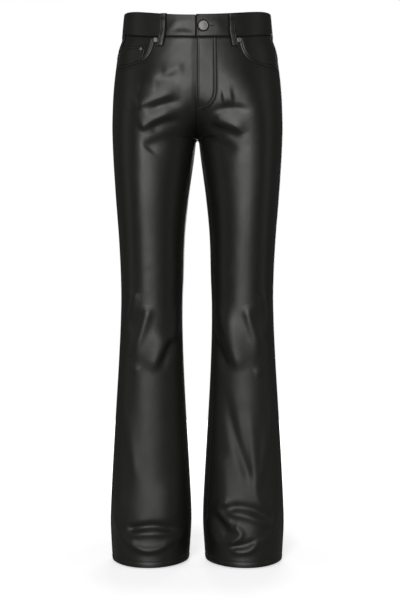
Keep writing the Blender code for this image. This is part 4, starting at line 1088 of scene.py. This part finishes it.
makers = {"front_": makeFront, "back_": makeBack, "yoke_": makeYoke, "pocket_bearer_": makeBearer,
          "back_pocket_": makeBackPocket, "waistband_": makeBand}
leatherPieces = []
for sideName, side in sides.items():
    for node, make in makers.items():
        leatherPieces.append(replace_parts(make(sideName, side), node + sideName))
leatherPieces.append(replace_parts(makeCoinPocket(), "coin_pocket"))
for place, side, *rest in loopPlaces():
    loopPiece = makeLoop("beltLoop" + place, side, *rest)
    leatherPieces.append(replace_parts(loopPiece, "belt_loop_" + place.lower()))
print("leather pieces made:", len(leatherPieces))
trims, threads = {}, {}
for sideName, side in sides.items():
    trims["front_" + sideName] = frontTrims(sideName, side)
    threads["front_" + sideName] = makeStitches("frontThread_" + sideName, frontStitchRows(side))
    threads["back_" + sideName] = makeStitches("backThread_" + sideName, backStitchRows(side))
print("trims and stitches made")


# A round piece from (radius, height) rows, set on the cloth with its axis along the normal
def turned(name, profile, point, normal, vertices):
    radius, height = profile[0]
    bpy.ops.mesh.primitive_circle_add(vertices=vertices, radius=radius * mm, fill_type="NGON",
                                      location=(0, 0, 0))
    piece = bpy.context.object
    piece.name = name
    bpy.ops.object.mode_set(mode="EDIT")
    bpy.ops.mesh.select_all(action="SELECT")
    bpy.ops.transform.translate(value=(0, 0, height * mm))
    for nextRadius, nextHeight in profile[1:]:
        bpy.ops.mesh.extrude_region_move(
            TRANSFORM_OT_translate={"value": (0, 0, (nextHeight - height) * mm)})
        if nextRadius != radius:
            grow = nextRadius / radius
            bpy.ops.transform.resize(value=(grow, grow, 1),
                                     center_override=(0, 0, nextHeight * mm))
        radius, height = nextRadius, nextHeight
    bpy.ops.mesh.select_all(action="SELECT")
    bpy.ops.mesh.normals_make_consistent(inside=False)
    bpy.ops.object.mode_set(mode="OBJECT")
    piece.rotation_euler = Vector(normal).to_track_quat("Z", "Y").to_euler()
    piece.location = Vector(point) * mm
    piece.select_set(True)
    bpy.ops.object.transform_apply(location=True, rotation=True, scale=True)
    piece.data.shade_smooth()
    bpy.ops.object.shade_smooth_by_angle(angle=math.radians(50))
    piece.select_set(False)
    return piece


metalParts = {
    "button": {"place": (11.0, 47.6), "radius": 9.9, "stand": 0.6, "shank": 3.0},
    "rivet": {"place": (81.0, 73.0), "radius": 4.9, "lift": 1.9},
    "coinRivet": {"place": (110.0, 88.0), "radius": 3.3, "lift": -0.5},
}


def frontSpot(side, across, drop):
    return onCloth(side, spotTurn(across, drop), drop)


def makeButton():
    size = metalParts["button"]
    point, normal, _ = frontSpot(1, *size["place"])
    radius, seat = size["radius"], band["outside"] + size["stand"]
    profile = [(size["shank"], band["inside"]), (size["shank"], seat), (radius - 0.9, seat),
               (radius - 0.2, seat + 0.4), (radius, seat + 1.0), (radius - 0.15, seat + 1.6),
               (radius - 0.6, seat + 2.05), (radius - 1.1, seat + 2.1), (radius - 1.5, seat + 1.9),
               (radius - 2.2, seat + 1.95), (radius * 0.5, seat + 2.2),
               (radius * 0.2, seat + 2.32), (0.4, seat + 2.34)]
    return turned("buttonCap", profile, point, normal, 64)


# Set a little askew on the soft cloth, facing forwards
def makeRivet(name, side, size):
    point, normal, _ = frontSpot(side, *size["place"])
    radius, base = size["radius"], size["lift"]
    profile = [(radius - 0.9, base - 2.2), (radius - 0.15, base + 0.1), (radius, base + 0.35),
               (radius - 0.1, base + 0.65), (radius - 0.45, base + 0.85),
               (radius * 0.55, base + 0.95), (radius * 0.44, base + 0.85),
               (radius * 0.36, base + 0.3), (radius * 0.1, base + 0.25)]
    return turned(name, profile, point, normal * 0.3 + np.array((0, -0.7, 0)), 40)


# A black ring under the button's rim is painted shade: it stands for the shadow in the gap round
# the button.
def makeButtonShadeRing():
    size = metalParts["button"]
    point, normal, _ = frontSpot(1, *size["place"])
    radius, base = size["radius"] + 1.9, band["outside"] - 0.35
    profile = [(radius - 0.3, base), (radius, base + 0.9), (radius - 0.4, base + 1.1),
               (2.9, base + 1.1)]
    return turned("paintedShadeRing", profile, point, normal, 64)


buttonShadeRing = makeButtonShadeRing()
metal = [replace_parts(makeButton(), "button")]
for sideName, side in sides.items():
    metal.append(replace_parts(makeRivet("mouthRivet_" + sideName, side, metalParts["rivet"]),
                             "rivet_" + sideName))
metal.append(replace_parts(makeRivet("coinRivet", pocket["coinSide"], metalParts["coinRivet"]),
                         "rivet_coin"))

# The buttonhole's slit, a thin black strip on the band that is painted shade of the cut opening,
# and the stitches across its edges, on the band's left end
hole = {"start": 22.5, "end": 30.5, "drop": 47.6, "half": 0.95, "every": 0.9,
        "slitShape": ((-0.3, -0.2), (-0.22, 0.08), (0.22, 0.08), (0.3, -0.2)),
        "stitchSize": (0.9, 0.8, 0.55)}


def makeButtonhole():
    across = np.linspace(hole["start"], hole["end"], 30)
    drops = np.full(across.shape, hole["drop"])
    line = (turnWhere(sectionAt(drops), across, "ridge"), drops)
    slitShade = makeStrip("buttonholeSlitShade", 1, line, hole["slitShape"], 1, band["outside"])
    places = np.arange(hole["start"], hole["end"] + 1.6, hole["every"])
    made = points, faces = [], []
    for row in (-1, 1):
        drops = np.full(places.shape, hole["drop"] + row * hole["half"])
        turns = turnWhere(sectionAt(drops), places, "ridge")
        centres, normals, around = onCloth(1, turns, drops)
        centres = centres + normals * (band["outside"] + 0.15)
        down = np.cross(around, normals)
        addCopies(made, stitchSeed, hole["stitchSize"], centres, (around, normals, down))
    return [slitShade, finishMesh("buttonholeStitches", np.concatenate(points), faces)]


buttonhole = makeButtonhole()

# The closed zip behind the fly: tape, teeth in two rows and the slider at the top
zipSizes = {"left": -16.5, "right": 13.5, "middle": -1.5, "top": 70.5, "bottom": 196.5,
            "depth": 2.9, "wall": 0.9, "pitch": 2.6, "tooth": (3.4, 1.5, 1.3),
            "slider": (9, 2.6, 11), "sliderBehind": 2.6, "teethBehind": 1.3, "teethApart": 1.1,
            "clearTop": 8.0, "clearFoot": 4.0}


def zipSpot(across, drops, depth):
    turns = turnWhere(sectionAt(drops), across, "ridge")
    points, normals, around = onCloth(1, turns, drops)
    return points - normals * depth, normals, around


def makeZip():
    drops = np.linspace(zipSizes["top"], zipSizes["bottom"], 48)[:, None]
    across = np.linspace(zipSizes["left"], zipSizes["right"], 17)
    across, drops = np.broadcast_arrays(across, drops)
    points = zipSpot(across, drops, zipSizes["depth"])[0]
    tape = gridPiece("zipTapes", points, 1, zipSizes["wall"])
    bpy.ops.mesh.primitive_cube_add(size=1.0)
    tooth = bpy.context.object
    inEditMode(tooth, (bpy.ops.mesh.bevel, {"offset": 0.12, "segments": 1, "affect": "EDGES"}))
    toothSeed = seedFrom(tooth)
    first, behind = zipSizes["top"] + zipSizes["clearTop"], zipSizes["depth"]
    made = points, faces = [], []
    for row in (-1, 1):
        drops = np.arange(first, zipSizes["bottom"] - zipSizes["clearFoot"], zipSizes["pitch"])
        drops = drops + row * zipSizes["pitch"] / 4
        across = np.full(drops.shape, zipSizes["middle"] + row * zipSizes["teethApart"])
        centres, normals, around = zipSpot(across, drops, behind + zipSizes["teethBehind"])
        down = np.cross(around, normals)
        addCopies(made, toothSeed, zipSizes["tooth"], centres, (around, normals, down))
    teeth = finishMesh("zipTeeth", np.concatenate(points), faces)
    teeth.data.shade_flat()
    middle = zipSpot(np.array([zipSizes["middle"]]), np.array([first]),
                     behind + zipSizes["sliderBehind"])
    bpy.ops.mesh.primitive_cube_add(size=1.0)
    slider = bpy.context.object
    slider.name = "zipSlider"
    size = tuple(length * mm for length in zipSizes["slider"])
    inEditMode(slider, (bpy.ops.transform.resize, {"value": size}),
               (bpy.ops.mesh.bevel, {"offset": 0.8 * mm, "segments": 3, "affect": "EDGES"}))
    slider.location = Vector(middle[0][0]) * mm
    slider.select_set(True)
    bpy.ops.object.transform_apply(location=True, rotation=True, scale=True)
    slider.select_set(False)
    return tape, teeth, slider


zipTape, zipTeeth, zipSlider = makeZip()
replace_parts(zipTape, "fly_zip")
print("metal, buttonhole and zip made")


# Materials
def withInputs(node, values):
    for socket, value in values.items():
        node.inputs[socket].default_value = value
    return node


def newMaterial(name, colour, roughness, metallic=0.0):
    made = bpy.data.materials.new(name)
    made.use_nodes = True
    shader = withInputs(made.node_tree.nodes["Principled BSDF"],
                        {"Base Color": (*colour, 1), "Roughness": roughness, "Metallic": metallic})
    return made, shader


# The finish is duller on the lower legs; the places are heights in metres
leatherLook = {"colour": (0.0112, 0.0111, 0.0094), "roughness": 0.35, "grainBump": 0.3,
               "shin": (-0.54, -0.73, 0.13), "hem": (-0.96, -1.04, -0.06)}


def leatherGrainGroup():
    group = bpy.data.node_groups.new("leatherGrain", "ShaderNodeTree")
    for name, value in (("Pore Scale", 1500.0), ("Crinkle Scale", 260.0), ("Crinkle", 0.5)):
        socket = group.interface.new_socket(name, in_out="INPUT", socket_type="NodeSocketFloat")
        socket.default_value = value
    for name in ("Height", "Mottle"):
        group.interface.new_socket(name, in_out="OUTPUT", socket_type="NodeSocketFloat")
    nodes, links = group.nodes, group.links
    given = nodes.new("NodeGroupInput")
    result = nodes.new("NodeGroupOutput")
    place = nodes.new("ShaderNodeTexCoord")
    pores = nodes.new("ShaderNodeTexVoronoi")
    pores.feature = "F1"
    crinkle = withInputs(nodes.new("ShaderNodeTexNoise"), {"Detail": 4})
    mottle = withInputs(nodes.new("ShaderNodeTexNoise"), {"Scale": 28, "Detail": 5})
    blend = nodes.new("ShaderNodeMix")
    for pattern in (pores, crinkle, mottle):
        links.new(place.outputs["Object"], pattern.inputs["Vector"])
    links.new(given.outputs["Pore Scale"], pores.inputs["Scale"])
    links.new(given.outputs["Crinkle Scale"], crinkle.inputs["Scale"])
    links.new(given.outputs["Crinkle"], blend.inputs["Factor"])
    links.new(pores.outputs["Distance"], blend.inputs[2])
    links.new(crinkle.outputs["Fac"], blend.inputs[3])
    links.new(blend.outputs[0], result.inputs["Height"])
    links.new(mottle.outputs["Fac"], result.inputs["Mottle"])
    return group


grainGroup = leatherGrainGroup()


def leatherMaterial(name, colour, roughness, bump):
    made, shader = newMaterial(name, colour, roughness)
    nodes, links = made.node_tree.nodes, made.node_tree.links
    grain = nodes.new("ShaderNodeGroup")
    grain.node_tree = grainGroup
    relief = withInputs(nodes.new("ShaderNodeBump"), {"Strength": bump, "Distance": 0.0006})
    spread = withInputs(nodes.new("ShaderNodeMapRange"),
                        {"From Min": 0.3, "From Max": 0.7,
                         "To Min": roughness - 0.03, "To Max": roughness + 0.05})
    links.new(grain.outputs["Height"], relief.inputs["Height"])
    links.new(relief.outputs["Normal"], shader.inputs["Normal"])
    links.new(grain.outputs["Mottle"], spread.inputs["Value"])
    rough = spread.outputs["Result"]
    place = nodes.new("ShaderNodeTexCoord")
    split = nodes.new("ShaderNodeSeparateXYZ")
    links.new(place.outputs["Object"], split.inputs[0])
    for start, end, change in (leatherLook["shin"], leatherLook["hem"]):
        grade = withInputs(nodes.new("ShaderNodeMapRange"),
                           {"From Min": start, "From Max": end, "To Max": change})
        grade.interpolation_type = "SMOOTHSTEP"
        links.new(split.outputs["Z"], grade.inputs["Value"])
        total = nodes.new("ShaderNodeMath")
        links.new(rough, total.inputs[0])
        links.new(grade.outputs["Result"], total.inputs[1])
        rough = total.outputs[0]
    links.new(rough, shader.inputs["Roughness"])
    return made


leather = leatherMaterial("blackLeather", leatherLook["colour"], leatherLook["roughness"],
                          leatherLook["grainBump"])
leatherBack = leatherMaterial("leatherBack", (0.02, 0.02, 0.021), 0.75, 0.3)
# Black thread for the stitches; the same black is also painted shade on the button's ring, the
# buttonhole's slit and the loops' inner edges
threadAndPaintedShade, threadShader = newMaterial("blackThreadAndPaintedShade", (0.007, 0.007, 0.0068), 0.85)
threadShader.inputs["Specular IOR Level"].default_value = 0.2
for piece in list(threads.values()) + buttonhole[:1] + [buttonShadeRing]:
    piece.data.materials.clear()
    piece.data.materials.append(threadAndPaintedShade)
    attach(piece, "root")
for piece in leatherPieces + sum(trims.values(), []) + buttonhole[1:]:
    piece.data.materials.append(leather)
    piece.data.materials.append(leatherBack)
    if piece.name.startswith("beltLoop"):
        piece.data.materials.append(threadAndPaintedShade)
        # The black on the loop's inner edge is painted shade of the gap under the loop
        for face in piece.data.polygons:
            column = face.index % len(loop["outline"])
            if column < loop["painted"] and len(face.vertices) == 4:
                face.material_index = 2
    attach(piece, "root")
nickel = newMaterial("dullNickel", (0.115, 0.111, 0.105), 0.42, 1.0)[0]
zipCloth = newMaterial("zipCloth", (0.02, 0.02, 0.021), 0.8)[0]
for piece, looks, slot in ([(part, nickel, "nickel") for part in metal]
                           + [(zipTape, zipCloth, "zip_tape"), (zipTeeth, nickel, "nickel"),
                              (zipSlider, nickel, "nickel")]):
    piece.data.materials.clear()
    piece.data.materials.append(looks)
    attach(piece, "root")


print("materials made")


# Stage, light and camera. The floor's glow grows with the distance from its middle. Floor and
# backdrop have a share of strength that only the camera sees, and a base that also gives light.
stage = {"floorDrop": 1.0925, "floorHalf": 3.0, "backdrop": (0.92, 0.08), "floor": (1.0, 0.04),
         "glow": {"From Min": 0.25, "From Max": 0.9, "To Min": 0.60, "To Max": 1.0},
         "unseenGrey": 0.25, "seenGrey": 0.9}


def seenByCamera(tree, strengthSocket, share, base):
    rays = tree.nodes.new("ShaderNodeLightPath").outputs["Is Camera Ray"]
    strength = tree.nodes.new("ShaderNodeMath")
    strength.operation = "MULTIPLY_ADD"
    withInputs(strength, {1: share, 2: base})
    tree.links.new(rays, strength.inputs[0])
    tree.links.new(strength.outputs[0], strengthSocket)
    return rays, strength


bpy.ops.mesh.primitive_plane_add(size=2 * stage["floorHalf"], location=(0, 0, -stage["floorDrop"]))
floor = bpy.context.object
floor.name = "studioFloor"
floorLook, floorShader = newMaterial("studioFloor", (0.9, 0.9, 0.9), 0.9)
nodes, links = floorLook.node_tree.nodes, floorLook.node_tree.links
place = nodes.new("ShaderNodeTexCoord")
away = nodes.new("ShaderNodeVectorMath")
away.operation = "LENGTH"
grade = withInputs(nodes.new("ShaderNodeMapRange"), stage["glow"])
glow = nodes.new("ShaderNodeEmission")
rays, strength = seenByCamera(floorLook.node_tree, glow.inputs["Strength"], *stage["floor"])
both = nodes.new("ShaderNodeAddShader")
shade = nodes.new("ShaderNodeMix")
shade.data_type = "RGBA"
for socket, grey in ((6, stage["unseenGrey"]), (7, stage["seenGrey"])):
    shade.inputs[socket].default_value = (grey, grey, grey, 1)
links.new(rays, shade.inputs[0])
links.new(shade.outputs[2], floorShader.inputs["Base Color"])
links.new(place.outputs["Object"], away.inputs[0])
links.new(away.outputs["Value"], grade.inputs["Value"])
links.new(grade.outputs["Result"], strength.inputs[1])
links.new(glow.outputs[0], both.inputs[0])
links.new(floorShader.outputs[0], both.inputs[1])
links.new(both.outputs[0], nodes["Material Output"].inputs["Surface"])
floor.data.materials.append(floorLook)

world = bpy.data.worlds.new("studio")
bpy.context.scene.world = world
world.use_nodes = True
backdrop = withInputs(world.node_tree.nodes["Background"], {"Color": (1, 1, 1, 1)})
seenByCamera(world.node_tree, backdrop.inputs["Strength"], *stage["backdrop"])

# place, target, width, height and power
lights = {
    "keySoftbox": ((-0.42, -3.2, 0.35), (0, 0, -0.5), 0.6, 3.0, 52),
    "wideFill": ((0.2, -3.6, 0.3), (0, 0, -0.55), 3.0, 3.0, 22),
    "sideLeft": ((-2.6, -0.5, 0.0), (0, 0, -0.5), 1.0, 3.0, 4.5),
    "sideRight": ((2.6, -0.5, 0.0), (0, 0, -0.5), 1.0, 3.0, 4),
    "backFill": ((0.3, 3.4, 0.5), (0, 0, -0.5), 1.6, 3.0, 40),
}
for name, (place, target, width, height, power) in lights.items():
    softbox = bpy.data.lights.new(name, "AREA")
    softbox.shape = "RECTANGLE"
    softbox.size, softbox.size_y, softbox.energy = width, height, power
    light = bpy.data.objects.new(name, softbox)
    bpy.context.scene.collection.objects.link(light)
    light.location = place
    light.rotation_euler = (Vector(target) - Vector(place)).to_track_quat("-Z", "Y").to_euler()

view = {"lens": 78, "sensor": 36, "place": (0.005, -2.6, -0.575)}
cameraData = bpy.data.cameras.new("camera")
cameraData.lens = view["lens"]
cameraData.sensor_width = view["sensor"]
cameraData.sensor_fit = "AUTO"
camera = bpy.data.objects.new("camera", cameraData)
bpy.context.scene.collection.objects.link(camera)
camera.location = view["place"]
camera.rotation_euler = (math.radians(90), 0, 0)
bpy.context.scene.camera = camera
bpy.context.scene.view_settings.view_transform = "Standard"
print("stage made")
